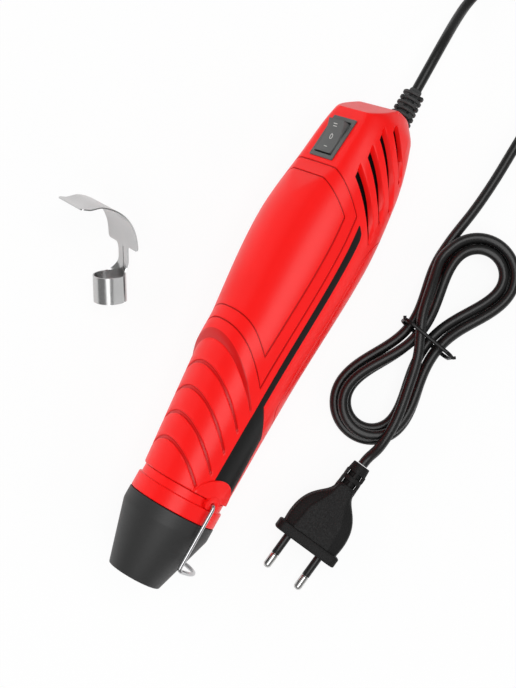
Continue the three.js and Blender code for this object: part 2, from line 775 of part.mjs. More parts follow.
const wellLength = 2 * sqrt((ROCKER_LENGTH / 2) ** 2 + ROCKER_RISE ** 2) + 2 * ROCKER_PLAY;
const wellWidth = ROCKER_WIDTH + 2 * ROCKER_PLAY;
const switchFloor = GAP - SWITCH_DEPTH;

// A centred box in the switch's frame.
const switchBlock = (length, width, z0, z1) => box(-length / 2, length / 2, -width / 2, width / 2, z0, z1);

const onSwitch = (made) => {
  const turnedGeometry = geometryOf(made).applyMatrix4(switchFrame.matrix);
  return solid(turnedGeometry);
};

function makeSwitch() {
  const top = GAP + BEZEL_HEIGHT;
  const body = join(
    switchBlock(BEZEL_LENGTH, BEZEL_WIDTH, GAP, top),
    switchBlock(SWITCH_BODY_LENGTH, SWITCH_BODY_WIDTH, switchFloor, top),
  );
  const well = switchBlock(wellLength, wellWidth, GAP - WELL_DEPTH, top + GAP);
  const pinBore = bar("y", -BEZEL_WIDTH, BEZEL_WIDTH, ROCKER_PIN_R + PIVOT_PLAY, [0, 0], 12);
  const bored = cut(body, well, pinBore.intersect(switchBlock(BEZEL_WIDTH, SWITCH_BODY_WIDTH - 0.4, -3, 3)));
  add(switchFrame, "switch_body", bored, BLACK);

  const half = ROCKER_LENGTH / 2;
  const heel = 0.55 * half;
  const outline = [
    [-half, -ROCKER_DIP],
    [-heel, -ROCKER_RISE],
    [heel, -ROCKER_RISE],
    [half, -ROCKER_DIP],
    [half, ROCKER_RISE],
    [heel, (ROCKER_RISE + ROCKER_DIP) / 2],
    [0, ROCKER_DIP],
    [-heel, (ROCKER_RISE + ROCKER_DIP) / 2],
    [-half, ROCKER_RISE],
  ];
  const pin = bar("y", -wellWidth / 2 - 0.4, wellWidth / 2 + 0.4, ROCKER_PIN_R, [0, 0], 12);
  const rocker = join(plate(outline, -ROCKER_WIDTH / 2, ROCKER_WIDTH / 2), pin);
  const pressed = new THREE.Group();
  pressed.rotation.y = -rad(ROCKER_HALF_THROW);
  switchFrame.add(pressed);
  add(pressed, "rocker_button", rocker, BLACK);

  for (let i = 0; i < 3; i++) {
    const x = (i - 1) * BLADE_SPACING;
    const end = switchFloor - GAP;
    const blade = box(x - BLADE_GAUGE / 2, x + BLADE_GAUGE / 2, -BLADE_WIDTH / 2, BLADE_WIDTH / 2, end - BLADE_LENGTH, end);
    add(switchFrame, "switch_terminal_" + (i + 1), blade, BRASS);
  }
}

// The stand

function pivotBore() {
  return bar("y", -BIG, BIG, WIRE_R + PIVOT_PLAY, [X_PIVOT, 0], 16);
}

function makeStand() {
  const loopX = X_PIVOT - LEG_LENGTH;
  const pinEnd = LEG_Y - PIN_LENGTH;
  const bend = 2.2;
  const leg = rounded(
    [
      [X_PIVOT, pinEnd, 0],
      [X_PIVOT, LEG_Y, 0],
      [loopX, LEG_Y, 0],
      [loopX, LEG_Y, -3 * bend],
    ],
    bend,
  );
  leg.pop();
  const pieces = 20;
  const start = leg[leg.length - 1].z;
  const from = Math.asin(-start / LEG_Y);
  const loop = Array.from({ length: pieces - 1 }, (_, i) => {
    const turn = from + ((PI - 2 * from) * (i + 1)) / pieces;
    return new THREE.Vector3(loopX, LEG_Y * cos(turn), -LEG_Y * sin(turn));
  });
  const other = leg.map((p) => new THREE.Vector3(p.x, -p.y, p.z)).reverse();
  add(tool, "stand_wire", sweep([...leg, ...loop, ...other], WIRE_R, 8), STEEL);
}

// The two shells, with what is moulded into them

const entryX = X_TAIL - RELIEF_SEAT;
const reliefEnd = X_TAIL + GAP + RELIEF_RIBS * RELIEF_PITCH + RELIEF_NOSE;
const clampX = X_TAIL - CLAMP_AHEAD;
const clampUnder = GAP + CORD_R - CORD_DROP;
const screwPlaces = [
  [X_STEP - FRONT_SCREW_BACK, FRONT_SCREW_Y],
  [X_STEP - FRONT_SCREW_BACK, -FRONT_SCREW_Y],
  [X_BELLY + REAR_SCREW_AFT, REAR_SCREW_Y],
  [X_BELLY + REAR_SCREW_AFT, -REAR_SCREW_Y],
];

function surfaceBelow(x, y) {
  const half = reach(x);
  return rise(x) - sqrt(half * half - y * y);
}
const screwSeat = ([x, y]) => surfaceBelow(x, abs(y) + SCREW_HEAD_R) + SCREW_HEAD + 2 * GAP;

function spokes(x, bore, inside) {
  const slab = inside.intersect(box(x - RIB / 2, x + RIB / 2, -BIG, BIG, -BIG, BIG));
  const cross = join(
    box(x - RIB, x + RIB, -SPOKE / 2, SPOKE / 2, -BIG, BIG),
    box(x - RIB, x + RIB, -BIG, BIG, -SPOKE / 2, SPOKE / 2),
  );
  return cut(slab.intersect(cross), bar("x", x - RIB, x + RIB, bore + GAP, [0, 0], 36));
}

function ear(side) {
  const inner = (side * GRIP_FRONT_R) / 2;
  const outer = side * EAR_FACE;
  const [y0, y1] = [min(inner, outer), max(inner, outer)];
  const disc = bar("y", y0, y1, EAR_R, [X_PIVOT, 0], 36).intersect(outside(-EAR_PROUD));
  const foot = side * (GROOVE_R + GAP);
  const boss = bar("y", min(foot, outer), max(foot, outer), BOSS_R, [X_PIVOT, 0], 20);
  return join(disc, boss.intersect(box(X_GROOVE + GAP, BIG, -BIG, BIG, -BIG, BIG)));
}

function vents() {
  return VENT_TOPS.flatMap((top, i) => {
    const low = VENT_ENDS[i];
    const from = VENT_FIRST + i * VENT_PITCH;
    const outline = [
      [from + SLANT * low, low],
      [from + SLANT * low + VENT_WIDTH, low],
      [from + SLANT * top + VENT_WIDTH, top],
      [from + SLANT * top, top],
    ];
    const inner = reach(from + (SLANT * (low + top)) / 2) - VENT_REACH;
    return [plate(outline, inner, BIG / 4), plate(outline, -BIG / 4, -inner)];
  });
}

function gripGrooves(skin) {
  const first = X_LIP - GROOVES * GRIP_GROOVE_PITCH;
  const high = BELLY_R + BELLY_RISE;
  return Array.from({ length: GROOVES }, (_, i) => {
    const from = first + i * GRIP_GROOVE_PITCH;
    const slab = plate(
      [
        [from + SLANT * GRIP_GROOVE_END, GRIP_GROOVE_END],
        [from + SLANT * GRIP_GROOVE_END + GRIP_GROOVE_WIDTH, GRIP_GROOVE_END],
        [from + SLANT * high + GRIP_GROOVE_WIDTH, high],
        [from + SLANT * high, high],
      ],
      -BIG / 4,
      BIG / 4,
    );
    return slab.intersect(skin);
  });
}

function labelOutline(grow) {
  const x0 = X_SHELL + EAR_R / 2 - grow;
  const x1 = X_PIVOT + EAR_R + LABEL_LENGTH + grow;
  const wideEnd = X_PIVOT + EAR_R + LABEL_WIDE_LENGTH;
  const top = (x) => LABEL_TOP + (LABEL_CLIMB * (x - X_SHELL)) / (X_TAIL - X_SHELL);
  const narrow = (x) => top(x) - LABEL_NARROW;
  return [
    [x0, top(x0) + grow],
    [x1, top(x1) + grow],
    [x1 - LABEL_NARROW / 2, narrow(x1) - grow],
    [wideEnd + LABEL_TAPER, narrow(wideEnd + LABEL_TAPER) - grow],
    [wideEnd, top(wideEnd) - LABEL_WIDE - grow],
    [x0, top(x0) - LABEL_WIDE - grow],
  ].reverse();
}

function labelBlock(grow) {
  const round = bar("y", -BIG, 0, EAR_R + GAP - grow, [X_PIVOT, 0], 36);
  return cut(plate(labelOutline(grow), -BIG / 4, -GRIP_FRONT_R / 4), round);
}

function makeShells() {
  const full = outside(0);
  const underLabel = outside(LABEL_THICKNESS);
  add(tool, "label", cut(full, underLabel).intersect(labelBlock(0)), LABEL_BLACK);

  const proud = outside(-SHELL_WALL);
  const grooves = gripGrooves(cut(proud, outside(GRIP_GROOVE_DEPTH)));
  const labelSeat = cut(proud, outside(LABEL_THICKNESS + GAP)).intersect(labelBlock(GAP));
  const skin = cut(join(cut(full, ...grooves), ear(1), ear(-1)), hollow, labelSeat);

  const inside = loft(OUTER_STATIONS, AROUND, SHELL_WALL / 2);
  const motorRib = spokes(motorX + MOTOR_LENGTH / 2, MOTOR_R, inside);
  const guideRib = spokes(shroudX + SHROUD_LENGTH / 2, shroudR, inside);
  const pillars = screwPlaces.map(([x, y]) => bar("z", -BIG, BIG, SCREW_BOSS_R, [x, y], 16));
  const posts = [-1, 1].map((side) =>
    bar("z", -BIG, clampUnder - GAP, POST_R, [clampX, side * CLAMP_SCREW_Y], 16),
  );
  const moulded = join(...pillars, ...posts).intersect(inside);
  const gland = cut(
    bar("x", entryX, X_TAIL - GLAND_PROUD, GLAND_R, [0, -CORD_DROP], 24),
    box(-BIG, BIG, -BIG, BIG, 0, BIG),
  );
  const whole = join(skin, motorRib, guideRib, moulded, gland);

  const shankBores = screwPlaces.map(([x, y]) => bar("z", -BIG, SCREW_GRIP + GAP, SCREW_R + GAP, [x, y], 12));
  const headBores = screwPlaces.map((place) =>
    bar("z", -BIG, screwSeat(place) + GAP, SCREW_HEAD_R + GAP, place, 16),
  );
  const clampBores = [-1, 1].map((side) =>
    bar("z", clampUnder - CLAMP_SCREW_LENGTH, BIG, CLAMP_SCREW_R + GAP, [clampX, side * CLAMP_SCREW_Y], 12),
  );
  const reliefBore = bar("x", entryX - GAP, BIG, RELIEF_CORE_R + GAP, [0, -CORD_DROP], 16);
  const switchHole = onSwitch(switchBlock(SWITCH_BODY_LENGTH + 2 * GAP, SWITCH_BODY_WIDTH + 2 * GAP, -4, 4));
  const heaterSpace = bar("x", X_SHELL, sleeveEnd, SLEEVE_R + GAP, [0, 0], 36);
  const opened = cut(whole, ...vents(), pivotBore(), reliefBore, switchHole, heaterSpace);

  const flat = new THREE.BoxGeometry(BIG, BIG, BIG);
  flat.translate(0, 0, -BIG / 2 - AXIS_HEIGHT).rotateX(rad(ROLL));
  const rested = cut(opened, solid(flat));

  const upperHalf = box(-BIG, BIG, -BIG, BIG, GAP / 2, BIG);
  const lowerHalf = box(-BIG, BIG, -BIG, BIG, -BIG, -GAP / 2);
  add(tool, "upper_shell", cut(rested.intersect(upperHalf), ...shankBores), RED);
  const lower = cut(rested.intersect(lowerHalf), ...shankBores, ...headBores, ...clampBores);
  add(tool, "lower_shell", lower, RED);
}

// Screws, cord entry and inner wires

function screw(from, to, headTop, radius, headRadius, head, place) {
  const shank = bar("z", from, to, radius, place, 10);
  return join(shank, bar("z", headTop, headTop + head, headRadius, place, 14));
}

function makeScrewsAndEntry() {
  screwPlaces.forEach((place, i) => {
    const seat = screwSeat(place);
    const made = screw(seat - SCREW_HEAD / 2, SCREW_GRIP, seat - SCREW_HEAD, SCREW_R, SCREW_HEAD_R, SCREW_HEAD, place);
    add(tool, "shell_screw_" + (i + 1), made, STEEL);
  });

  const clampTop = clampUnder + CLAMP_THICKNESS;
  const halfLength = CLAMP_LENGTH / 2;
  const bridge = box(clampX - halfLength, clampX + halfLength, -CLAMP_WIDTH / 2, CLAMP_WIDTH / 2, clampUnder, clampTop);
  const holes = [-1, 1].map((side) =>
    bar("z", -BIG, BIG, CLAMP_SCREW_R + GAP, [clampX, side * CLAMP_SCREW_Y], 12),
  );
  add(tool, "cord_clamp", cut(bridge, ...holes), NYLON);
  [-1, 1].forEach((side, i) => {
    const place = [clampX, side * CLAMP_SCREW_Y];
    const from = clampUnder - CLAMP_SCREW_LENGTH + GAP;
    const made = screw(from, clampTop + GAP + 0.5, clampTop + GAP, CLAMP_SCREW_R, 2 * CLAMP_SCREW_R, 1.6, place);
    add(tool, "clamp_screw_" + (i + 1), made, STEEL);
  });

  const profile = [
    [entryX, 0],
    [entryX, RELIEF_CORE_R],
  ];
  for (let i = 0; i < RELIEF_RIBS; i++) {
    const from = X_TAIL + GAP + i * RELIEF_PITCH;
    const to = from + RELIEF_RIB;
    profile.push([from, RELIEF_CORE_R], [from, RELIEF_RIB_R], [to, RELIEF_RIB_R], [to, RELIEF_CORE_R]);
  }
  profile.push([reliefEnd, RELIEF_CORE_R], [reliefEnd, 0]);
  const points = profile.map(([x, r]) => new THREE.Vector2(r, x));
  const relief = new THREE.LatheGeometry(points, 16).rotateZ(-PI / 2).translate(0, 0, -CORD_DROP);
  add(tool, "strain_relief", solid(relief), BLACK);

  const cordEnd = entryX - GAP - INNER_CORD;
  const inner = bar("x", cordEnd, entryX - GAP, CORD_R, [0, -CORD_DROP], 12);
  add(tool, "cord_inner", inner, BLACK);

  const bladeFoot = new THREE.Vector3(0, 0, switchFloor - GAP - BLADE_LENGTH).applyMatrix4(switchFrame.matrix);
  const live = [
    [cordEnd - GAP, 1.2, -CORD_DROP],
    [cordEnd - 4, 1.2, -CORD_DROP],
    [bladeFoot.x, 0.6, bladeFoot.z - 4],
    [bladeFoot.x, 0, bladeFoot.z - GAP],
  ];
  add(tool, "wire_live", sweep(rounded(live, 1.2, 3), CORE_R, 6), look(0x7a4a2a, 0.5, 0));
  const boardFace = boardX + BOARD_THICKNESS + GAP;
  const neutral = [
    [cordEnd - GAP, -1.2, -CORD_DROP],
    [cordEnd - 6, -1.2, -CORD_DROP],
    [boardFace + 8, -4, -CORD_DROP - 1],
    [boardFace, -4, -CORD_DROP - 1],
  ];
  add(tool, "wire_neutral", sweep(rounded(neutral, 1.5, 3), CORE_R, 6), look(0x2a4f9a, 0.5, 0));

  const blockEnd = sleeveEnd - GUIDE_SOCKET - GAP;
  const feed = SLEEVE_R + 2 * GAP + TERMINAL_BLOCK / 2;
  [-1, 1].forEach((side, i) => {
    const y = side * (SPOKE / 2 + 4 * GAP + CORE_R);
    const clear = shroudR + CORE_R + 2 * GAP;
    const over = sqrt(clear * clear - y * y) + 1;
    const climb = sleeveEnd - GUIDE_SOCKET;
    const lead = [
      [blockEnd - TERMINAL_BLOCK / 2, side * TERMINAL_BLOCK, feed],
      [blockEnd - TERMINAL_BLOCK / 2, side * TERMINAL_BLOCK, over],
      [climb + TERMINAL_BLOCK, y, over],
      [capEnd, y, over],
      [boardX + BOARD_THICKNESS / 2, y, BOARD_HEIGHT / 2 + 5],
      [boardX + BOARD_THICKNESS / 2, y, BOARD_HEIGHT / 2 + GAP],
    ];
    add(tool, "heater_lead_" + (i + 1), sweep(rounded(lead, LEAD_BEND, 3), CORE_R, 6), CERAMIC);
  });
}

// The lead: a free stretch, the hank, and the stretch to the plug

const hankAlong = new THREE.Vector3(cos(rad(HANK_AXIS)), sin(rad(HANK_AXIS)), 0);
const hankAcross = new THREE.Vector3(-hankAlong.y, hankAlong.x, 0);

// A place from its distances along the hank, across it and over the table.
function onHank([along, across, height]) {
  const place = new THREE.Vector3(HANK_CENTRE[0], HANK_CENTRE[1], height);
  return place.addScaledVector(hankAlong, along).addScaledVector(hankAcross, across);
}

const waistDip = (along) => ((HANK_LOBE_R - HANK_WAIST) / 2) * (1 + cos((PI * along) / HANK_HALF));
const tieLift = TIE_THICKNESS + 3 * GAP;
const lifted = (along) => (abs(along) < TIE_ROOM ? tieLift * cos((PI * along) / (2 * TIE_ROOM)) ** 2 : 0);

// The outer loop: down one run, round the far lobe, back up the other run and round the near lobe.
function loopPoint(turn) {
  const run = 2 * HANK_HALF;
  const lobe = PI * HANK_LOBE_R;
  const far = 2 * (run + lobe) * (turn - Math.floor(turn));
  const onRun = (d, side) => [side * (HANK_HALF - d), side * (HANK_LOBE_R - waistDip(HANK_HALF - d))];
  if (far < run) return onRun(far, 1);
  if (far < run + lobe) {
    const a = (far - run) / HANK_LOBE_R;
    return [-HANK_HALF - HANK_LOBE_R * sin(a), HANK_LOBE_R * cos(a)];
  }
  if (far < 2 * run + lobe) return onRun(far - run - lobe, -1);
  const a = (far - 2 * run - lobe) / HANK_LOBE_R;
  return [HANK_HALF + HANK_LOBE_R * sin(a), -HANK_LOBE_R * cos(a)];
}

// The wound lead: it spirals in on the table, climbs along a run, and spirals out on top.
function hankPoint(turn) {
  const small = 1e-4;
  const [p, q] = loopPoint(turn);
  const [p1, q1] = loopPoint(turn + small);
  const [p0, q0] = loopPoint(turn - small + 1);
  const length = Math.hypot(p1 - p0, q1 - q0);
  const inward = [-(q1 - q0) / length, (p1 - p0) / length];
  const depth = HANK_PITCH * (turn < HANK_TURNS_IN ? turn : 2 * HANK_TURNS_IN - turn);
  const layer = smooth((turn - HANK_TURNS_IN + 0.12) / 0.24);
  const along = p + depth * inward[0];
  return [along, q + depth * inward[1], CORD_R + HANK_PITCH * layer + lifted(along)];
}

function hankRoute() {
  const count = Math.round(HANK_END * HANK_STEPS);
  const points = Array.from({ length: count + 1 }, (_, i) => onHank(hankPoint((HANK_END * i) / count)));
  const first = points[0].clone().sub(points[1]).normalize();
  const last = points[count].clone().sub(points[count - 1]).normalize();
  return { points, first, last };
}

// The least gap between stretches of a tube that are more than half a turn apart.
function selfGap(points, apart, radius) {
  let least = Infinity;
  points.forEach((a, i) => {
    for (let k = i + apart; k < points.length; k++) least = min(least, a.distanceTo(points[k]));
  });
  return least - 2 * radius;
}

const plugHeading = new THREE.Vector3(cos(rad(PLUG_TURN)), sin(rad(PLUG_TURN)), 0);
const plugBack = PLUG_BODY + PLUG_NECK_LENGTH;
const plugEnd = new THREE.Vector3(PLUG_AT[0], PLUG_AT[1], PLUG_THICKNESS / 2).addScaledVector(plugHeading, -plugBack);

function makeCord() {
  tool.updateMatrix();
  const hank = hankRoute();
  const exit = new THREE.Vector3(reliefEnd + GAP, 0, -CORD_DROP).applyMatrix4(tool.matrix);
  const lead = [
    exit.toArray(),
    [exit.x + 14, exit.y, exit.z],
    [exit.x + 28, exit.y, exit.z - 2.6],
    [exit.x + 42, exit.y - 0.2, exit.z - 9.4],
    [exit.x + 55, exit.y - 1.2, CORD_R + 2.2],
    [157, -12.5, CORD_R + 0.2],
    [169, -20.5, CORD_R],
    [176, -33, CORD_R],
    [174, -47, CORD_R],
    [164, -58, CORD_R],
    [150, -63.6, CORD_R],
    [133, -65, CORD_R],
    [114, -64.8, CORD_R],
    [94, -64, CORD_R],
    [74, -63.2, CORD_R],
    [57, -61.6, CORD_R],
    onHank(hankPoint(0)).addScaledVector(hank.first, 3 * CORD_R).toArray(),
    onHank(hankPoint(0)).addScaledVector(hank.first, GAP).toArray(),
  ].map(vector);
  const step = 5 * CORD_R;
  add(part, "cord_lead", cordTube(lead, CORD_R, 10, step), BLACK);
  add(part, "cord_hank", sweep(hank.points, CORD_R, HANK_SIDES), BLACK);

  const end = hank.points[hank.points.length - 1];
  const climbing = (turn, climb) => {
    const [along, across, height] = hankPoint(HANK_END + turn);
    return onHank([along, across, height + climb * HANK_PITCH]);
  };
  const crossing = (along, across, drop = 0) =>
    onHank([along, across, CORD_R + 2 * HANK_PITCH + 2 * GAP + lifted(along) - drop]);
  const tail = [
    end.clone().addScaledVector(hank.last, GAP),
    end.clone().addScaledVector(hank.last, 2 * CORD_R),
    climbing(0.045, 0.35),
    climbing(0.075, 0.85),
    crossing(7, 9.4),
    crossing(-1, 4.4),
    crossing(-9, -1.2),
    crossing(-17, -4.8),
    crossing(-25, -7.8),
    crossing(-33, -10.8),
    crossing(-40, -13),
    crossing(-46, -14.3, 0.4),
    crossing(-52, -15.1, 2),
    crossing(-57.5, -15.6, 4.7),
    plugEnd.clone().addScaledVector(plugHeading, -2 * CORD_R),
    plugEnd.clone().addScaledVector(plugHeading, -GAP),
  ];
  add(part, "cord_tail", cordTube(tail, CORD_R, 10, step / 2), BLACK);

  const halfWidth = HANK_WAIST + CORD_R + 4 * GAP;
  const low = GAP;
  const high = 2 * CORD_R + 2 * HANK_PITCH + tieLift + 4 * GAP + TIE_THICKNESS;
  const tie = tieOutline(halfWidth + TIE_THICKNESS, low, high, 5);
  tie.holes.push(tieOutline(halfWidth, low + TIE_THICKNESS, high - TIE_THICKNESS, 4.4));
  const band = new THREE.ExtrudeGeometry(tie, { depth: TIE_WIDTH, bevelEnabled: false, curveSegments: 5 });
  band.translate(0, 0, -TIE_WIDTH / 2).applyMatrix4(
    new THREE.Matrix4().makeBasis(hankAcross, new THREE.Vector3(0, 0, 1), hankAlong).setPosition(onHank([0, 0, 0])),
  );
  add(part, "cable_tie", solid(band), BLACK);

  const gap = selfGap(hank.points, HANK_STEPS / 2, CORD_R);
  console.log("hank: least gap to itself " + gap.toFixed(2) + " mm");
}

function tieOutline(half, low, high, corner) {
  const outline = new THREE.Shape();
  outline.moveTo(-half + corner, low);
  outline.lineTo(half - corner, low);
  outline.absarc(half - corner, low + corner, corner, -PI / 2, 0);
  outline.lineTo(half, high - corner);
  outline.absarc(half - corner, high - corner, corner, 0, PI / 2);
  outline.lineTo(-half + corner, high);
  outline.absarc(-half + corner, high - corner, corner, PI / 2, PI);
  outline.lineTo(-half, low + corner);
  outline.absarc(-half + corner, low + corner, corner, PI, 1.5 * PI);
  return outline;
}

// The plug, in a frame with x along its pins and z up from the table

function makePlug() {
  const plug = new THREE.Group();
  plug.position.set(PLUG_AT[0], PLUG_AT[1], PLUG_THICKNESS / 2);
  plug.rotation.z = rad(PLUG_TURN);
  part.add(plug);

  const half = PLUG_SHOULDER / 2;
  const neck = PLUG_NECK / 2;
  const bodyShape = new THREE.Shape();
  bodyShape.moveTo(0, -half);
  bodyShape.lineTo(0, half);
  bodyShape.lineTo(-PLUG_PLATE, half);
  bodyShape.bezierCurveTo(-0.765 * PLUG_BODY, 1.18 * half, -0.795 * PLUG_BODY, neck, -PLUG_BODY, neck);
  bodyShape.lineTo(-PLUG_BODY, -neck);
  bodyShape.bezierCurveTo(-0.795 * PLUG_BODY, -neck, -0.765 * PLUG_BODY, -1.18 * half, -PLUG_PLATE, -half);
  const edge = 1.6;
  const slab = PLUG_THICKNESS - 2 * edge - 1;
  const body = new THREE.ExtrudeGeometry(bodyShape, {
    depth: slab,
    curveSegments: 8,
    bevelThickness: edge,
    bevelSize: edge,
    bevelOffset: -edge,
    bevelSegments: 2,
  });
  const main = solid(body.translate(0, 0, -slab / 2));
  const wide = PLUG_WIDTH / 2;
  const thick = PLUG_THICKNESS / 2;
  const plateBlock = box(-PLUG_PLATE, 0, -wide, wide, -thick, thick);
  const neckBar = bar("x", -plugBack, -0.8 * PLUG_BODY, neck - 0.5, [0, 0], 16);
  const bores = [-1, 1].map((side) =>
    bar("x", -PIN_SEAT - GAP, GAP, PIN_CORE_R + GAP, [(side * PIN_SPACING) / 2, 0], 12),
  );
  add(plug, "plug_body", cut(join(main, plateBlock, neckBar), ...bores), BLACK);

  [-1, 1].forEach((side, i) => {
    const y = (side * PIN_SPACING) / 2;
    const core = bar("x", -PIN_SEAT, SLEEVED + 2 * GAP + 1, PIN_CORE_R, [y, 0], 12);
    const tip = bar("x", SLEEVED + 2 * GAP, PIN_PROUD, PIN_R, [y, 0], 12);
    add(plug, "plug_pin_" + (i + 1), join(core, tip), STEEL);
    const outer = bar("x", GAP, GAP + SLEEVED, PIN_SLEEVE_R, [y, 0], 12);
    const inner = bar("x", 0, 2 * SLEEVED, PIN_CORE_R + GAP, [y, 0], 12);
    add(plug, "pin_sleeve_" + (i + 1), cut(outer, inner), BLACK);
  });
}

// The reflector, in a frame with z up its ring and x towards the open side of its scoop

// A strip of sheet that follows a line of [x, z] points, its width along y changing from end to end.
function bentSheet(line, widthFrom, widthTo) {
  const place = [];
  const index = [];
  line.forEach(([x, z], i) => {
    const before = line[max(i - 1, 0)];
    const after = line[min(i + 1, line.length - 1)];
    const length = Math.hypot(after[0] - before[0], after[1] - before[1]);
    const off = [
      ((before[1] - after[1]) / length) * (SHEET / 2),
      ((after[0] - before[0]) / length) * (SHEET / 2),
    ];
    const half = (widthFrom + ((widthTo - widthFrom) * i) / (line.length - 1)) / 2;
    place.push([x + off[0], -half, z + off[1]], [x + off[0], half, z + off[1]]);
    place.push([x - off[0], half, z - off[1]], [x - off[0], -half, z - off[1]]);
  });
  const last = (line.length - 1) * 4;
  for (let ring = 0; ring < last; ring += 4) {
    for (let k = 0; k < 4; k++) {
      const next = (k + 1) % 4;
      index.push(ring + k, ring + next, ring + 4 + next, ring + k, ring + 4 + next, ring + 4 + k);
    }
  }
  index.push(0, 2, 1, 0, 3, 2, last, last + 1, last + 2, last, last + 2, last + 3);
  const geometry = new THREE.BufferGeometry();
  geometry.setAttribute("position", new THREE.Float32BufferAttribute(place.flat(), 3));
  return solid(geometry.setIndex(index));
}

function makeReflector() {
  const stand = new THREE.Group();
  const heading = rad(REFLECTOR_HEADING);
  const pitch = rad(REFLECTOR_PITCH);
  const up = new THREE.Vector3(cos(heading) * cos(pitch), sin(heading) * cos(pitch), sin(pitch));
  const right = new THREE.Vector3(sin(heading), -cos(heading), 0);
  const over = up.clone().cross(right).negate();
  const spin = rad(REFLECTOR_SPIN);
  const width = right.clone().multiplyScalar(cos(spin)).addScaledVector(over, sin(spin));
  const open = width.clone().cross(up);
  stand.setRotationFromMatrix(new THREE.Matrix4().makeBasis(open, width, up));

  const tall = bar("z", 0, RING_HEIGHT, RING_R, [0, 0], 32);
  const bore = bar("z", -1, RING_HEIGHT + 1, RING_R - SHEET, [0, 0], 32);
  const slits = SLIT_TURNS.map((turn) => {
    const slot = new THREE.BoxGeometry(2 * RING_R, SLIT, RING_HEIGHT).translate(RING_R, 0, RING_HEIGHT / 2 + SLIT);
    return solid(slot.rotateZ(rad(turn)));
  });
  const ring = cut(tall, bore, ...slits);

  const back = -RING_R + SHEET / 2;
  const stemTop = RING_HEIGHT + STEM_LENGTH;
  const stemLine = [
    [back, RING_HEIGHT - 2 * SLIT],
    [back, stemTop + 1],
  ];
  const pieces = 12;
  const scoopLine = Array.from({ length: pieces + 1 }, (_, i) => {
    const turn = ((PI / 2) * i) / pieces;
    const power = 2 / SCOOP_SQUARENESS;
    return [back + SCOOP_DEPTH * (1 - cos(turn) ** power), stemTop + SCOOP_HEIGHT * sin(turn) ** power];
  });
  const stem = bentSheet(stemLine, STEM_WIDTH, STEM_WIDTH);
  const sheet = join(ring, stem, bentSheet(scoopLine, SCOOP_WIDTH, LIP_WIDTH));
  add(stand, "reflector", sheet, STEEL);
  stand.updateMatrixWorld(true);
  const lowest = new THREE.Box3().setFromObject(stand, true).min.z;
  stand.position.set(REFLECTOR_AT[0], REFLECTOR_AT[1], -lowest);
  part.add(stand);
}

makeNose();
makeFanAndMotor();
makeSwitch();
makeStand();
makeShells();
makeScrewsAndEntry();
makeCord();
makePlug();
makeReflector();

export default part;
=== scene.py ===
import math

import bmesh
import bpy
import numpy as np
from mathutils import Matrix, Vector


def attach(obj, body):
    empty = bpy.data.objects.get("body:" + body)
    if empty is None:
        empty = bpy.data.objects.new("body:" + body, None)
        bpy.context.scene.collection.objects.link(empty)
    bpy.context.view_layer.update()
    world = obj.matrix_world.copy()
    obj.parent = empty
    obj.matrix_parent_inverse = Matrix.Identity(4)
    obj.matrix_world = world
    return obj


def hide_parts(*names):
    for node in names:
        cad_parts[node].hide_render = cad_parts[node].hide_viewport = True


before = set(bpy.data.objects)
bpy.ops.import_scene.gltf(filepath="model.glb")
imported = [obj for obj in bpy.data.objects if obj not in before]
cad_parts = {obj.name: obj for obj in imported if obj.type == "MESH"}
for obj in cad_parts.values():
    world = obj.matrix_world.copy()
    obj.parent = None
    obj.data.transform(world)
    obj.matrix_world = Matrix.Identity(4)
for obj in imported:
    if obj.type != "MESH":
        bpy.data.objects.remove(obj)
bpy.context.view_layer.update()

# Lengths are in millimetres until a mesh is made. The tool is drawn about its own axis: nozzle rim at
# x = 0, tail towards +x, switch side towards +z. It lies rolled on its side, as its solids do.
MM = 0.001
ROLL = math.radians(45)
TOOL_AT = np.array([-175.0, -3.4648, 24.7852])


def metres(points):
    return MM * np.asarray(points, float)


def spun(points, first, second, angle):
    """Points turned in the plane of two axes, from the second axis towards the first."""
    p = np.array(points, float)
    a, b = p[..., first], p[..., second]
    c, s = math.cos(angle), math.sin(angle)
    p[..., first], p[..., second] = c * a + s * b, c * b - s * a
    return p


def laid(points):
    """Tool millimetres to the frame's metres."""
    return metres(spun(points, 1, 2, ROLL) + TOOL_AT)


def around(count):
    """Angles of a full turn."""
    return np.linspace(0, 2 * math.pi, count, endpoint=False)


def grid(x, y, z):
    """Points from their coordinates, each of which may be the same for a whole row."""
    return np.stack(np.broadcast_arrays(x, y, z), -1)


def unit(v):
    return v / np.linalg.norm(v, axis=-1, keepdims=True)


def distances(line):
    """How far along a line each of its points is."""
    return np.concatenate([[0], np.cumsum(np.linalg.norm(np.diff(line, axis=0), axis=1))])


scene = bpy.context.scene


def linked(name, data):
    """A new object in the scene."""
    made = bpy.data.objects.new(name, data)
    scene.collection.objects.link(made)
    return made


# Camera

PICTURE_HEIGHT = 688
FOCAL_PIXELS = 1280
SENSOR = 36
CAMERA_AT = (-0.0811, -0.0083, 0.6247)
camera_data = bpy.data.cameras.new("camera")
camera_data.sensor_width = SENSOR
camera_data.lens = FOCAL_PIXELS / PICTURE_HEIGHT * SENSOR
camera_data.clip_start = 0.01
camera = linked("camera", camera_data)
right = Vector((0.4882, -0.8726, 0.0127)).normalized()
forward = Vector((0.0466, 0.0116, -0.9989)).normalized()
up = right.cross(forward).normalized()
right = forward.cross(up).normalized()
turned = Matrix((right, up, -forward)).transposed().to_4x4()
camera.matrix_world = Matrix.Translation(CAMERA_AT) @ turned
scene.camera = camera


# Materials

def feed(tree, node, inputs):
    """Sets inputs of a node, each to a value or to the socket that feeds it."""
    for name, value in inputs.items():
        if isinstance(value, bpy.types.NodeSocket):
            tree.links.new(value, node.inputs[name])
        else:
            node.inputs[name].default_value = value


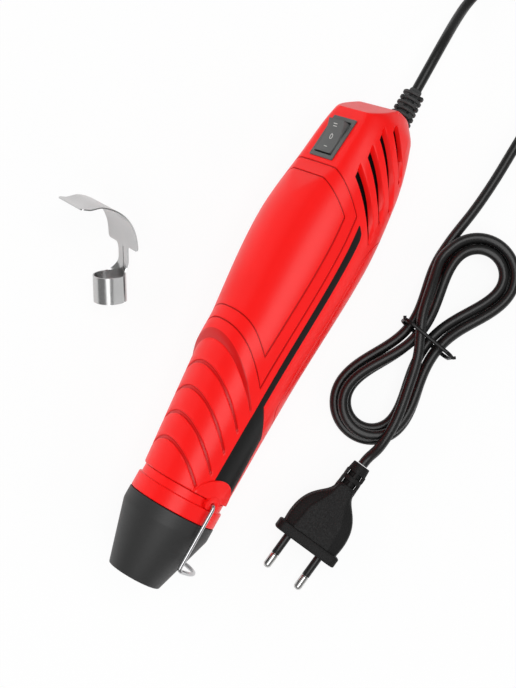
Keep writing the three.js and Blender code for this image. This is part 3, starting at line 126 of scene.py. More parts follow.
def add_node(tree, kind, output, inputs, **settings):
    """Adds a shader node and gives one of its outputs."""
    node = tree.nodes.new("ShaderNode" + kind)
    for name, value in settings.items():
        setattr(node, name, value)
    feed(tree, node, inputs)
    return node.outputs[output]


def new_material(name):
    material = bpy.data.materials.new(name + "_finish")
    material.use_nodes = True
    return material, material.node_tree


def noise(tree, place, scale, detail=3.0, stretch=None):
    """A noise texture, with an optional stretch per axis."""
    if stretch:
        place = add_node(tree, "Mapping", "Vector", {"Vector": place, "Scale": stretch})
    return add_node(tree, "TexNoise", "Fac", {"Vector": place, "Scale": scale, "Detail": detail})


def mixed(tree, factor, a, b):
    """A colour between two."""
    return add_node(tree, "Mix", "Result", {"Factor": factor, "A": a, "B": b}, data_type="RGBA")


# Painted shade: the near-black colour of the shells' insides.
PAINTED_INSIDE_SHADE = (0.02, 0.0, 0.0, 1)
RELIEF_DEPTH = 0.05 * MM


def surface(name, colour, vary, roughness, grain, bump, metallic=0.0, patch=45.0, stretch=None,
            specular=0.5, painted_shade_colour=None):
    """A moulded or metal finish: colour patches, uneven roughness and a fine grain in relief.
    colour may be one number for a grey, vary is the share by which it changes, grain the size of the
    relief in millimetres, and deep the colour of painted shade in grooves and recesses. A mesh marks
    painted shade with its shade attribute: at 1 that colour, and at 2 a near-black painted shade inside."""
    material, tree = new_material(name)
    place = add_node(tree, "TexCoord", "Object", {})
    colour = np.broadcast_to(colour, 3)
    ends = [(*np.minimum(colour * share, 1), 1) for share in (1 - vary, 1 + vary)]
    shown = mixed(tree, noise(tree, place, patch), *ends)
    if painted_shade_colour:
        shade = add_node(tree, "Attribute", "Fac", {}, attribute_name="shade")
        painted_inside_share = add_node(tree, "Math", "Value", {0: shade, 1: 1.0}, operation="SUBTRACT")
        shown = mixed(tree, shade, shown, (*painted_shade_colour, 1))
        shown = mixed(tree, painted_inside_share, shown, PAINTED_INSIDE_SHADE)
    fine = noise(tree, place, 1 / (grain * MM), 2.0, stretch)
    low, high = roughness
    uneven = {"Value": fine, "From Min": 0.3, "From Max": 0.7, "To Min": low, "To Max": high}
    relief = {"Height": fine, "Strength": bump, "Distance": RELIEF_DEPTH}
    feed(tree, tree.nodes["Principled BSDF"], {
        "Base Color": shown,
        "Roughness": add_node(tree, "MapRange", "Result", uneven),
        "Normal": add_node(tree, "Bump", "Normal", relief),
        "Metallic": metallic,
        "Specular IOR Level": specular,
    })
    return material


# The red's deep colour is painted shade in grooves, in panel lines and on the lip's step face.
RED = surface("red_plastic", (0.90, 0.006, 0.005), 0.04, (0.30, 0.36), 0.35, 0.08, specular=0.36,
              painted_shade_colour=(0.46, 0.0, 0.0))
CHARCOAL = surface("charcoal_plastic", 0.024, 0.12, (0.44, 0.54), 0.4, 0.25, specular=0.45)
LABEL = surface("label_film", 0.007, 0.2, (0.36, 0.44), 0.5, 0.05, specular=0.25)
SWITCH = surface("switch_plastic", (0.105, 0.107, 0.106), 0.08, (0.45, 0.55), 0.3, 0.25, specular=0.3)
MARK = surface("switch_mark", (0.52, 0.52, 0.50), 0.06, (0.50, 0.60), 0.3, 0.1)
CORD = surface("cord_sheath", 0.008, 0.2, (0.29, 0.36), 0.5, 0.12)
RELIEF = surface("relief_rubber", (0.045, 0.046, 0.046), 0.15, (0.5, 0.6), 0.35, 0.3, specular=0.3)
TIE = surface("tie_plastic", 0.006, 0.2, (0.30, 0.40), 0.4, 0.1, specular=0.3)
PLUG = surface("plug_rubber", 0.010, 0.3, (0.45, 0.75), 0.55, 1.0, specular=0.22)
PIN = surface("pin_metal", (0.66, 0.66, 0.65), 0.03, (0.16, 0.24), 0.3, 0.05, 1.0)
WIRE = surface("wire_steel", (0.58, 0.58, 0.59), 0.04, (0.10, 0.16), 0.5, 0.06, 1.0)
SHEET = surface("sheet_steel", 0.58, 0.14, (0.20, 0.28), 0.5, 0.08, 1.0, 60.0, (1, 6, 1))
TUBE = surface("outlet_steel", (0.62, 0.60, 0.57), 0.08, (0.25, 0.38), 0.3, 0.15, 1.0)
# Near black: painted shade behind the vents.
SHADE_SCREEN = surface("vent_shade_screen", 0.003, 0.2, (0.7, 0.8), 0.4, 0.3, specular=0.08)


# Meshes

def piece(name, build, material, node=None, body="tool", place=laid, sharp=30, shade=None):
    """A mesh piece in the frame, smooth but for edges sharper than the given angle. It may replace a
    solid's node."""
    mesh = bpy.data.meshes.new(name)
    faces = [tuple(int(i) for i in f) for f in build.faces]
    mesh.from_pydata([tuple(p) for p in place(build.points)], [], faces)
    if shade is not None:
        shades = mesh.attributes.new("shade", "FLOAT", "POINT")
        shades.data.foreach_set("value", np.asarray(shade, np.float32))
    mesh.validate()
    work = bmesh.new()
    work.from_mesh(mesh)
    bmesh.ops.remove_doubles(work, verts=work.verts, dist=1e-7)
    bmesh.ops.delete(work, geom=[v for v in work.verts if not v.link_faces], context="VERTS")
    bmesh.ops.recalc_face_normals(work, faces=work.faces)
    work.to_mesh(mesh)
    work.free()
    mesh.polygons.foreach_set("use_smooth", [True] * len(mesh.polygons))
    mesh.set_sharp_from_angle(angle=math.radians(sharp))
    mesh.materials.append(material)
    made = linked(name, mesh)
    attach(made, body)
    if node:
        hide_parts(node)


class Build:
    """Points and faces of one piece, gathered from several closed forms."""

    def __init__(self):
        self.points = []
        self.faces = []

    def add(self, points, faces):
        start = len(self.points)
        self.points.extend(np.asarray(points, float).reshape(-1, 3))
        self.faces.extend([[start + i for i in f] for f in faces])
        return self

    def rings(self, rings, closed=False, caps=True):
        """A skin over rings of equally many points: a tube with ends, or closed on itself."""
        rings = np.asarray(rings, float)
        count, per = rings.shape[:2]
        faces = []
        for i in range(count if closed else count - 1):
            a, b = i * per, (i + 1) % count * per
            for k in range(per):
                n = (k + 1) % per
                faces.append([a + k, a + n, b + n, b + k])
        if caps and not closed:
            faces += [range(per)[::-1], range((count - 1) * per, count * per)]
        return self.add(rings, faces)

    def slab(self, front, behind):
        """A closed sheet between two grids of points."""
        return self.rings([[*a, *b[::-1]] for a, b in zip(front, behind)])


def lathe(outline, sides, flat=1.0):
    """Rings about the x axis from [x, radius] points, flattened to a share of their height."""
    x, r = np.array(outline).T[..., None]
    return grid(x, r * np.sin(around(sides)), flat * r * np.cos(around(sides)))


def eased(outline, radius, pieces=4):
    """A closed outline with each corner rounded, by one radius or by a list."""
    corners = np.array(outline, float)
    sizes = np.broadcast_to(radius, len(corners))
    made = []
    for corner, size, *others in zip(corners, sizes, np.roll(corners, 1, 0), np.roll(corners, -1, 0)):
        a, b = (corner + (p - corner) * min(size / np.linalg.norm(p - corner), 0.45) for p in others)
        for t in np.linspace(0, 1, pieces + 1) if size > 0 else [0.5]:
            made.append((1 - t) ** 2 * a + 2 * t * (1 - t) * corner + t * t * b)
    return made


def tube(path, radius, sides=16):
    """Rings of a round wire along a path."""
    path = np.asarray(path, float)
    along = unit(np.gradient(path, axis=0))
    normal = np.cross(along[0], [0.31, 0.87, 0.39])
    c, s = np.cos(around(sides))[:, None], np.sin(around(sides))[:, None]
    rings = []
    for p, d in zip(path, along):
        normal = unit(normal - d * normal.dot(d))
        rings.append(p + radius * (c * normal + s * np.cross(d, normal)))
    return rings


def catmull(points, per=12):
    """Points on a centripetal Catmull-Rom curve through the given points."""
    p = [np.array(q, float) for q in points]
    p = [2 * p[0] - p[1], *p, 2 * p[-1] - p[-2]]
    stages = ((0, 1), (1, 2), (2, 3)), ((0, 2), (1, 3)), ((1, 2),)
    made = []
    for i in range(1, len(p) - 2):
        knots = [0.0]
        for a, b in zip(p[i - 1:i + 2], p[i:i + 3]):
            knots.append(knots[-1] + max(np.linalg.norm(b - a), 1e-9) ** 0.5)
        for t in np.linspace(knots[1], knots[2], per, endpoint=False):
            level = p[i - 1:i + 3]
            for spans in stages:
                ends = [(knots[a], knots[b]) for a, b in spans]
                level = [((end - t) * q + (t - start) * r) / (end - start)
                         for (start, end), q, r in zip(ends, level, level[1:])]
            made.append(level[0])
    made.append(p[-2])
    return np.array(made)


def smooth(t):
    s = np.clip(t, 0, 1)
    return s * s * (3 - 2 * s)


# The lead: a free stretch, the hank and the stretch to the plug, on the route of their solids

CORD_R = 2.5
HANK_PITCH = 5.5
HANK_HALF = 40
LOBE_R = 20.6
WAIST = 10.6
TURNS_IN = 1.64
HANK_TURNS = 3
TIE_LIFT = 1.7
TIE_ROOM = 16
HANK_AXIS = math.radians(-10.5)
HANK_CENTRE = np.array([-10.5, -71])
along_hank = np.array([math.cos(HANK_AXIS), math.sin(HANK_AXIS)])
across_hank = np.array([-along_hank[1], along_hank[0]])


def on_hank(along, across, height):
    return np.array([*(HANK_CENTRE + along * along_hank + across * across_hank), height])


def lifted(along):
    return TIE_LIFT * math.cos(math.pi * along / (2 * TIE_ROOM)) ** 2 if abs(along) < TIE_ROOM else 0.0


def loop_point(turn):
    """The outer loop: down one run, round the far lobe, up the other run and round the near lobe."""
    run, lobe = 2 * HANK_HALF, math.pi * LOBE_R
    returning, far = divmod(2 * (turn - math.floor(turn)) * (run + lobe), run + lobe)
    side = -1 if returning else 1
    if far < run:
        dip = (LOBE_R - WAIST) / 2 * (1 + math.cos(math.pi * (HANK_HALF - far) / HANK_HALF))
        return side * (HANK_HALF - far), side * (LOBE_R - dip)
    a = (far - run) / LOBE_R
    return -side * (HANK_HALF + LOBE_R * math.sin(a)), side * LOBE_R * math.cos(a)


def hank_point(turn, climb=0.0):
    p, q = loop_point(turn)
    on = unit(np.subtract(loop_point(turn + 1e-4), loop_point(turn - 1e-4 + 1)))
    depth = HANK_PITCH * (turn if turn < TURNS_IN else 2 * TURNS_IN - turn)
    layer = float(smooth((turn - TURNS_IN + 0.12) / 0.24))
    along, across = p - depth * on[1], q + depth * on[0]
    return on_hank(along, across, CORD_R + HANK_PITCH * (layer + climb) + lifted(along))


CORD_DROP = -6.5
EXIT = laid([265.2, 0, CORD_DROP]) / MM
PLUG_AT = np.array([-126.5, -67.6, 6.85])
PLUG_TURN = math.radians(173)
PLUG_LENGTH = 48
plug_heading = np.array([math.cos(PLUG_TURN), math.sin(PLUG_TURN), 0])
plug_end = PLUG_AT - PLUG_LENGTH * plug_heading
HANK_STEPS = 216
LEAD_STEP = 1.6


def lead_route():
    """The lead's line from the strain relief to the plug, and its length."""
    hank = [hank_point(HANK_TURNS * i / HANK_STEPS) for i in range(HANK_STEPS + 1)]
    first, last = unit(hank[0] - hank[1]), unit(hank[-1] - hank[-2])
    on_table = [
        (169, -20.5), (176, -33), (174, -47), (164, -58), (150, -63.6),
        (133, -65), (114, -64.8), (94, -64), (74, -63.2), (57, -61.6),
    ]
    out = [
        EXIT,
        EXIT + [14, 0, 0],
        EXIT + [28, 0, -2.6],
        EXIT + [42, -0.2, -9.4],
        [EXIT[0] + 55, EXIT[1] - 1.2, CORD_R + 2.2],
        [157, -12.5, CORD_R + 0.2],
        *([x, y, CORD_R] for x, y in on_table),
        hank[0] + first * 7.5,
        hank[0] + first * 0.3,
    ]
    # Along and across the hank as the lead crosses it, and how far it has come down again.
    crossing = [
        (7, 9.4, 0), (-1, 4.4, 0), (-9, -1.2, 0), (-17, -4.8, 0), (-25, -7.8, 0),
        (-33, -10.8, 0), (-40, -13, 0), (-46, -14.3, 0.4), (-52, -15.1, 2), (-57.5, -15.6, 4.7),
    ]
    top = CORD_R + 2 * HANK_PITCH + 0.6
    back = [
        hank[-1] + last * 0.3,
        hank[-1] + last * 5,
        hank_point(HANK_TURNS + 0.045, 0.35),
        hank_point(HANK_TURNS + 0.075, 0.85),
        *(on_hank(along, across, top + lifted(along) - down) for along, across, down in crossing),
        plug_end - plug_heading * 5,
        plug_end - plug_heading * 0.3,
    ]
    whole = np.concatenate([catmull(out, 10), hank, catmull(back, 8)])
    kept = whole[np.diff(distances(whole), prepend=-1) > 0.2]
    far = distances(kept)
    even = np.linspace(0, far[-1], int(far[-1] / LEAD_STEP))
    line = np.stack([np.interp(even, far, kept[:, i]) for i in range(3)], -1)
    for _ in range(6):
        line[1:-1] = (line[:-2] + 2 * line[1:-1] + line[2:]) / 4
    return line, float(distances(line)[-1])


route, route_length = lead_route()
cord_curve = bpy.data.curves.new("mains_lead", "CURVE")
cord_curve.dimensions = "3D"
cord_curve.bevel_depth = CORD_R * MM
cord_curve.bevel_resolution = 6
cord_curve.use_fill_caps = True
spline = cord_curve.splines.new("POLY")
spline.points.add(len(route) - 1)
spline.points.foreach_set("co", np.column_stack([metres(route), np.ones(len(route))]).ravel())
spline.use_smooth = True
cord_curve.materials.append(CORD)
cord = linked("mains_lead", cord_curve)
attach(cord, "tool")
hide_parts("cord_lead", "cord_hank", "cord_tail")


# The outside of the shells

def through(pairs):
    """A smooth line through [x, value] points, level at peaks."""
    xs, vs = (np.array(c, float) for c in zip(*pairs))
    rates = np.diff(vs) / np.diff(xs)
    slope = np.zeros(len(xs))
    for i in range(1, len(xs) - 1):
        a, b = rates[i - 1], rates[i]
        slope[i] = 0 if a * b <= 0 else 2 * a * b / (a + b)
    slope[0], slope[-1] = rates[0], rates[-1]

    def at(x):
        i = np.clip(np.searchsorted(xs, x, side="left") - 1, 0, len(xs) - 2)
        span = xs[i + 1] - xs[i]
        t = np.clip((x - xs[i]) / span, 0, 1)
        s = smooth(t)
        lead = t * (1 - t) ** 2 * span * slope[i]
        trail = t * t * (t - 1) * span * slope[i + 1]
        return vs[i] * (1 - s) + vs[i + 1] * s + lead + trail

    return at


X_SHELL, X_BELLY, X_FACET, X_HEEL, X_TAIL = 48.5, 175.0, 209.0, 237.0, 247.0
STATIONS = X_SHELL, 112.0, X_BELLY, X_FACET, X_HEEL, X_TAIL
SLANT = 1.1
X_LIP, LIP_HIGH, LIP_RUN, LIP_FADE = 82.6, 1.4, 2.7, 16
WALL = 2.0
reach = through(zip(STATIONS, (21.6, 24.8, 28.55, 25.5, 20, 13.4)))
rise = through(zip(STATIONS, (0, 3.2, 4.9, 4.45, 6.6, 7.2)))
FACET_FRONT = float(rise(X_FACET) + reach(X_FACET)) - 3.4
FACET_TILT, HEEL_TILT = math.radians(5.4), math.radians(55)


def facet_height(x):
    return FACET_FRONT - (x - X_FACET) * math.tan(FACET_TILT)


def ceiling(x):
    """The height at which the switch face and the heel cut the top of the shells."""
    over = rise(x) + reach(x)
    facet = facet_height(np.minimum(x, X_HEEL))
    open_top = over + (facet - over) * smooth((x - X_BELLY) / (X_FACET - X_BELLY)) ** 3
    open_top = open_top + 4 * (1 - smooth((x - 135) / 35))
    return np.where(x <= X_FACET, open_top, facet - np.maximum(x - X_HEEL, 0) * math.tan(HEEL_TILT))


def squareness(x):
    return 2 + 0.3 * smooth((x - X_BELLY) / (X_HEEL - X_BELLY))


def half_size(x):
    """Half the width of the squarish section whose corners lie on the round one."""
    return reach(x) * 2 ** (1 / squareness(x) - 0.5)


def lip_span(z):
    """How wide the step behind the grip is: narrower down the sides."""
    return 0.45 + 0.55 * smooth((z - 4) / 20)


def section(x, turn, inset=0.0, lip=LIP_HIGH):
    """Where the shells' surface is, [y, z], at x and at an angle from the top."""
    half = half_size(x) - inset
    y, z = (half * np.sign(v) * np.abs(v) ** (2 / squareness(x)) for v in (np.sin(turn), np.cos(turn)))
    past = x - SLANT * (rise(x) + z) - X_LIP
    step = lip * smooth(past / (LIP_RUN * lip_span(rise(x) + z)))
    step = step * (1 - smooth((past - LIP_RUN) / LIP_FADE))
    swell = np.where(z > 0, 1 + step * smooth(z / half) / half, 1)
    y, z = y * swell, rise(x) + z * swell
    top = ceiling(x) - inset
    blend = 0.7 * smooth((x - 188) / 20)
    z = 0.5 * (z + top - np.sqrt((z - top) ** 2 + blend**2))
    return y, z


def turn_at(x, height):
    """The angle in degrees at which the section passes a height, if nothing cuts its top."""
    c = np.clip((height - rise(x)) / half_size(x), -1, 1)
    return np.degrees(np.arccos(np.sign(c) * np.abs(c) ** (squareness(x) / 2)))


# Columns of the shells' mesh follow the edge of the switch face, the panel lines and the seam.
CREASE, INNER_SIDE, OUTER_SIDE, SEAM, LOW = 33.0, 61.0, 73.0, 100.0, 112.0
LINE = np.array([-1.0, -0.5, 0.5, 1.0])  # degrees either side of a panel line
nominal = np.concatenate(
    [
        np.linspace(0, CREASE - 5, 14),
        CREASE + np.array([-3.4, -1.8, -0.8, 0, 0.8, 1.8, 3.4]),
        np.linspace(CREASE + 4.6, INNER_SIDE - 2.0, 26),
        INNER_SIDE + LINE,
        np.linspace(INNER_SIDE + 2.0, OUTER_SIDE - 2.0, 12),
        OUTER_SIDE + LINE,
        np.linspace(OUTER_SIDE + 2.0, SEAM - 1.0, 26),
        [SEAM - 0.03, SEAM + 0.03],
        np.linspace(SEAM + 1.4, LOW - 2.2, 6),
        LOW + LINE,
        np.linspace(LOW + 2.4, 180, 32),
    ]
)
SEAM_COLUMN = int(np.argmin(np.abs(nominal - (SEAM - 0.03))))
COLUMNS = len(nominal)
# Heights of the line along the lower shell.
LOW_LINE = [(91.5, -14.4), (95.4, -9.1), (98.6, -5.8), (179, -3.0), (183, -4.1), (188.4, -8.7),
            (191.3, -14.2)]


def turns(x):
    """The columns' true angles at x, with x and the columns broadcast together."""
    crease = np.clip(turn_at(x, ceiling(x) - 0.01), 26, 88)
    crease = CREASE + (crease - CREASE) * smooth((x - 195) / 12)
    seam = turn_at(x, 0.0)
    push = np.clip((crease - CREASE) / (SEAM - CREASE), 0, 1)
    inner = np.clip(turn_at(x, 16.3 + 0.026 * (x - 117)), 54, 66)
    inner = inner + push * (seam - inner) * 0.9
    outer = np.clip(turn_at(x, 10.7 + 0.029 * (x - 103)), 66, 78)
    outer = outer + push * (seam - outer) * 0.95
    low = turn_at(x, np.interp(x, *zip(*LOW_LINE)))
    marks = [0, crease, inner, outer, seam, low, 180]
    flat = [0, CREASE, INNER_SIDE, OUTER_SIDE, SEAM, LOW, 180]
    made = 0
    for a, b, start, end in zip(flat, flat[1:], marks, marks[1:]):
        inside = (nominal >= a) & (nominal <= b)
        made = np.where(inside, start + (end - start) * (nominal - a) / (b - a), made)
    return np.radians(made)


GROOVES = [38.5 + 11.2 * k for k in range(4)]
GROOVE_FOOT, GROOVE_TOP = 7.4, 40


def slanted(c, low=GROOVE_FOOT, high=GROOVE_TOP, widen=None):
    """A row where x - SLANT z = c, upright below and above the given heights. widen adds to c by how
    far up between the two heights a point is."""
    x = np.full(COLUMNS, float(np.mean(c)) + SLANT * (low + high) / 2)
    for _ in range(14):
        z = np.clip(section(x, turns(x))[1], low, high)
        add = widen((z - low) / (high - low)) if widen else 0.0
        x = 0.4 * x + 0.6 * np.clip(c + add + SLANT * z, X_SHELL, X_TAIL)
    return x


# Rows of the mesh follow grooves, lip, panel lines and vents. Pairs are distances and depths, or
# distances and shares of painted shade.
GROOVE_ROWS = [(-1.3, 0), (-0.85, 0.25), (-0.6, 0.85), (0.6, 0.85), (0.85, 0.25), (1.3, 0)]
# Painted shade across a groove's floor.
GROOVE_PAINTED_SHADE = [(-0.85, 0), (-0.6, 1), (0.6, 1), (0.85, 0)]
ROW_GAP = 0.03
LIP_ROWS = (-0.5, -0.15, 0.0, 0.6, 1.2, 1.8, 2.3, 2.5, 2.9, 3.4)
LIP_DEPTHS = [(-0.5, 0), (0.0, 0.3), (0.6, 0.3), (1.4, 0)]
# Painted shade on the lip's step face, which faces away from the lamps.
LIP_PAINTED_SHADE = [(-0.15, 0), (0.0, 1), (2.3, 1), (2.5, 0)]
LINE_DEPTH = 0.4
LINE_ROWS = [(-0.45, 0), (-0.22, LINE_DEPTH), (0.22, LINE_DEPTH), (0.45, 0)]
outer_front = slanted(90 + 1.9 * smooth(nominal / 45))
inner_front = slanted(96.4 + 2.7 * smooth(nominal / 42))
inner_rear = slanted(169.2, 17.0, 28.6) - 11 * smooth((nominal - INNER_SIDE - 0.6) / 30)
outer_rear = slanted(177.8, 12.2, 27.0) - 10.5 * smooth((nominal - OUTER_SIDE - 0.6) / 25)
VENT_FIRST, VENT_PITCH, VENT_DEPTH = 185.1, 12.2, 2.1
# Each vent's foot and top, its run from the slot's front to the end of the ramp, and the slot's width.
VENTS = [(-1.0, 20.7, 6.8, 4.9), (-3.0, 19.1, 6.8, 4.9), (-8.0, 17.6, 6.8, 4.9), (-5.6, 12.4, 5.7, 4.8)]


def slot_width(up, widest):
    """How wide a vent's slot is, from its foot to its top."""
    return widest * np.interp(up, [0, 0.1, 0.25, 0.5, 0.75, 1], [0.29, 0.69, 0.92, 1.0, 0.9, 0.75])


rows = [np.full(COLUMNS, X_SHELL), np.full(COLUMNS, X_SHELL + 0.5)]
rows += [slanted(c + d) for c in GROOVES for d, _ in GROOVE_ROWS]
rows += [slanted(X_LIP, widen=lambda up: d * lip_span(GROOVE_FOOT + up * (GROOVE_TOP - GROOVE_FOOT)))
         for d in LIP_ROWS]
rows += [line + d for line in (outer_front, inner_front, inner_rear, outer_rear) for d, _ in LINE_ROWS]
tags = {}
for k, (foot, top, run, widest) in enumerate(VENTS):
    c = VENT_FIRST + VENT_PITCH * k
    made = [
        slanted(c - 0.35, foot, top),
        slanted(c, foot, top),
        slanted(c, foot, top, lambda up: slot_width(up, widest)),
        slanted(c, foot, top, lambda up: 0.25 + slot_width(up, widest)),
        slanted(c + run - 0.1, foot, top),
        slanted(c + run + 0.2, foot, top),
    ]
    if k == len(VENTS) - 1:  # its top bends in front of the heel
        bent = smooth((nominal - CREASE - 4) / (INNER_SIDE - CREASE - 6))
        made = [row * bent + (235.9 + 0.12 * i) * (1 - bent) for i, row in enumerate(made)]
    tags[len(rows) + 1], tags[len(rows) + 2] = ("front", k), ("rear", k)
    rows += made
heel = through([(0, X_HEEL), (45, X_HEEL), (66, 242.2), (180, 242.2)])(nominal)
rows += [heel + d for d in (-0.7, -0.25, 0.0, 0.25, 0.7)]
rows += [np.full(COLUMNS, X_TAIL - d) for d in (1.0, 0.45, 0.0)]
gaps = ROW_GAP * np.arange(len(rows))[:, None]
rows = np.maximum.accumulate(np.array(rows) - gaps)
rows[-1] = X_TAIL - gaps[-1]
rows = np.minimum.accumulate(rows[::-1])[::-1] + gaps
filled, marked = [rows[0]], [None]
for i, (a, b) in enumerate(zip(rows, rows[1:]), 1):
    count = max(1, math.ceil(float((b - a).max()) / (1.2 if a.mean() > 188 else 2.0)))
    filled += [a + (b - a) * j / count for j in range(1, count + 1)]
    marked += [None] * (count - 1) + [tags.get(i)]
X = np.array(filled)
TURN = turns(X)
PLAIN_Y, PLAIN_Z = section(X, TURN)


def vent_columns(k):
    """The columns that a vent crosses."""
    height = PLAIN_Z[marked.index(("front", k))]
    foot, top = VENTS[k][:2]
    return (height < top) & (height > foot)


def profile(distance, steps):
    return np.interp(distance, *zip(*steps), left=0, right=0)


def relief_depth():
    """How far each point of the skin lies below the plain section, and how much painted shade darkens it
    there.
    """
    slant = X - SLANT * PLAIN_Z
    above = smooth((PLAIN_Z - 8.0) / 1.4)
    behind = (slant - X_LIP) / lip_span(PLAIN_Z)
    depth = above * profile(behind, LIP_DEPTHS)
    # The lip's step face gets painted shade.
    painted_darkening = above * (0.62 + 0.08 * smooth((PLAIN_Z - 4) / 20)) * profile(behind, LIP_PAINTED_SHADE)
    for c in GROOVES:
        depth = np.maximum(depth, above * profile(slant - c, GROOVE_ROWS))
        # Groove floors get painted shade.
        painted_darkening = np.maximum(painted_darkening, 0.8 * above * profile(slant - c, GROOVE_PAINTED_SHADE))
    radius = np.hypot(PLAIN_Y, PLAIN_Z - rise(X))

    def beside(line):
        return profile(np.radians(nominal - line) * radius, LINE_ROWS)

    lines = np.where((X > LOW_LINE[0][0]) & (X < LOW_LINE[-1][0]), beside(LOW), 0)
    outer, inner = (outer_front, outer_rear, OUTER_SIDE), (inner_front, inner_rear, INNER_SIDE)
    for front, rear, side in (outer, inner):
        across = np.maximum(profile(X - front, LINE_ROWS), profile(X - rear, LINE_ROWS))
        between = (X >= front - 0.2) & (X <= rear + 0.1)
        lines = np.maximum(lines, np.where(nominal <= side + 0.3, across, 0))
        lines = np.maximum(lines, np.where(between, beside(side), 0))
    depth = np.maximum(depth, lines)
    # Panel lines get painted shade on top of their depth.
    painted_darkening = np.maximum(painted_darkening, np.clip(lines / LINE_DEPTH, 0, 1))
    for k, (foot, top, run, widest) in enumerate(VENTS):
        past = slant - (VENT_FIRST + VENT_PITCH * k)
        up = np.clip((PLAIN_Z - foot) / (top - foot), 0, 1)
        width = slot_width(up, widest)
        ramp = VENT_DEPTH * (0.3 + 0.7 * smooth(up / 0.25)) * np.clip((run - past) / (run - width), 0, 1)
        depth = np.maximum(depth, np.where(vent_columns(k) & (past > width - 0.06), ramp, 0))
    return depth, painted_darkening


DEPTH, PAINTED_SHADE = relief_depth()
edge = np.interp(X, [X_SHELL, X_SHELL + 0.5], [0.4, 0])
edge += np.interp(X, [X_TAIL - 1, X_TAIL - 0.45, X_TAIL], [0, 0.2, 0.9])
OUT_Y, OUT_Z = section(X, TURN, DEPTH + edge)
IN_X = np.clip(X, X_SHELL, X_TAIL - WALL)
IN_Y, IN_Z = section(IN_X, TURN, WALL + 0.3, 0.0)
SWITCH_X = (X_FACET + X_HEEL) / 2 - 2.3
SWITCH_Z = float(facet_height(SWITCH_X))


def rested(points):
    """As laid, with nothing below the table."""
    made = laid(points)
    made[:, 2] = np.maximum(made[:, 2], 0.0)
    return made


def shell_piece(name, columns, node):
    """One half of the housing: outer skin, inner skin and the walls of every opening."""
    held, sign = np.array(columns).T
    outer = grid(X[:, held], OUT_Y[:, held] * sign, OUT_Z[:, held])
    inner = grid(IN_X[:, held], IN_Y[:, held] * sign, IN_Z[:, held])
    middle = 0.25 * (outer[:-1, :-1] + outer[1:, :-1] + outer[:-1, 1:] + outer[1:, 1:])
    off = middle - [SWITCH_X, 0, SWITCH_Z]
    gone = (np.abs(off[..., 0]) < 10.2) & (np.abs(off[..., 1]) < 6.8) & (off[..., 2] > -3)
    for k in range(len(VENTS)):
        crossed = vent_columns(k)[held]
        gone[marked.index(("front", k)):marked.index(("rear", k))] |= crossed[:-1] & crossed[1:]
    shift = outer.shape[0] * outer.shape[1]
    index = np.arange(shift).reshape(outer.shape[:2])
    faces = []
    for i, k in np.argwhere(~gone):
        quad = [index[i, k], index[i + 1, k], index[i + 1, k + 1], index[i, k + 1]]
        faces += [quad, [q + shift for q in quad[::-1]]]
    edges = dict.fromkeys((a, b) for f in faces[::2] for a, b in zip(f, f[1:] + f[:1]))
    tail = index[-1]
    for a, b in edges:
        if (b, a) not in edges and min(a, b) < tail[0]:
            faces.append([b, a, a + shift, b + shift])
    faces += [tail, tail[::-1] + shift, [tail[0], tail[-1], tail[-1] + shift, tail[0] + shift]]
    build = Build().add(np.concatenate([outer, inner]), faces)
    # Painted shade: grooves, lip and panel lines darken by their share, and the inner skin is painted
    # near black so that the vents look dark inside.
    shade = np.concatenate([PAINTED_SHADE[:, held].ravel(), np.full(shift, 2.0)])
    piece(name, build, RED, node, place=rested, sharp=28, shade=shade)


top_columns = [(c, -1) for c in range(SEAM_COLUMN, 0, -1)] + [(c, 1) for c in range(SEAM_COLUMN + 1)]
under = range(SEAM_COLUMN + 1, COLUMNS)
low_columns = [(c, 1) for c in under] + [(c, -1) for c in under[::-1][1:]]
shell_piece("housing_upper", top_columns, "upper_shell")
shell_piece("housing_lower", low_columns, "lower_shell")


def make_shade_screen(name, side):
    """A near-black sheet behind the vents of one side: painted shade that keeps the slots dark.
    The dust screen behind the vents of one side, plain in place of a fine mesh.
    """
    crossed = slice(marked.index(("front", 0)) - 2, marked.index(("rear", len(VENTS) - 1)) + 4)
    held = (nominal > CREASE + 1) & (nominal < LOW + 16)
    x, turn = IN_X[crossed, held], TURN[crossed, held]
    skins = []
    for inset in (1.2, 1.8):
        y, z = section(x, turn, WALL + inset, 0.0)
        skins.append(grid(x, side * y, z))
    piece(name, Build().slab(*skins), SHADE_SCREEN, sharp=32)


make_shade_screen("vent_shade_screen_1", 1)
make_shade_screen("vent_shade_screen_2", -1)


def side_y(x, z, proud=0.0):
    """How far out the shells' side is at x and z, always positive."""
    square = squareness(x)
    half = half_size(x) + proud
    v = np.clip(np.abs(z - rise(x)) / half, 0, 0.9999)
    return half * (1 - v**square) ** (1 / square)


def skin_y(x, z):
    """As side_y, with the lip of the grip."""
    low, high = math.radians(40), math.radians(150)
    for _ in range(30):
        middle = 0.5 * (low + high)
        above = section(x, middle)[1] > z
        low, high = np.where(above, middle, low), np.where(above, high, middle)
    return section(x, low)[0]


# Round pads and bosses at the stand's pivots

X_PIVOT = 46.94
EAR_R, EAR_PROUD, BOSS_R, EAR_FACE = 12.0, 0.9, 4.3, 22.485


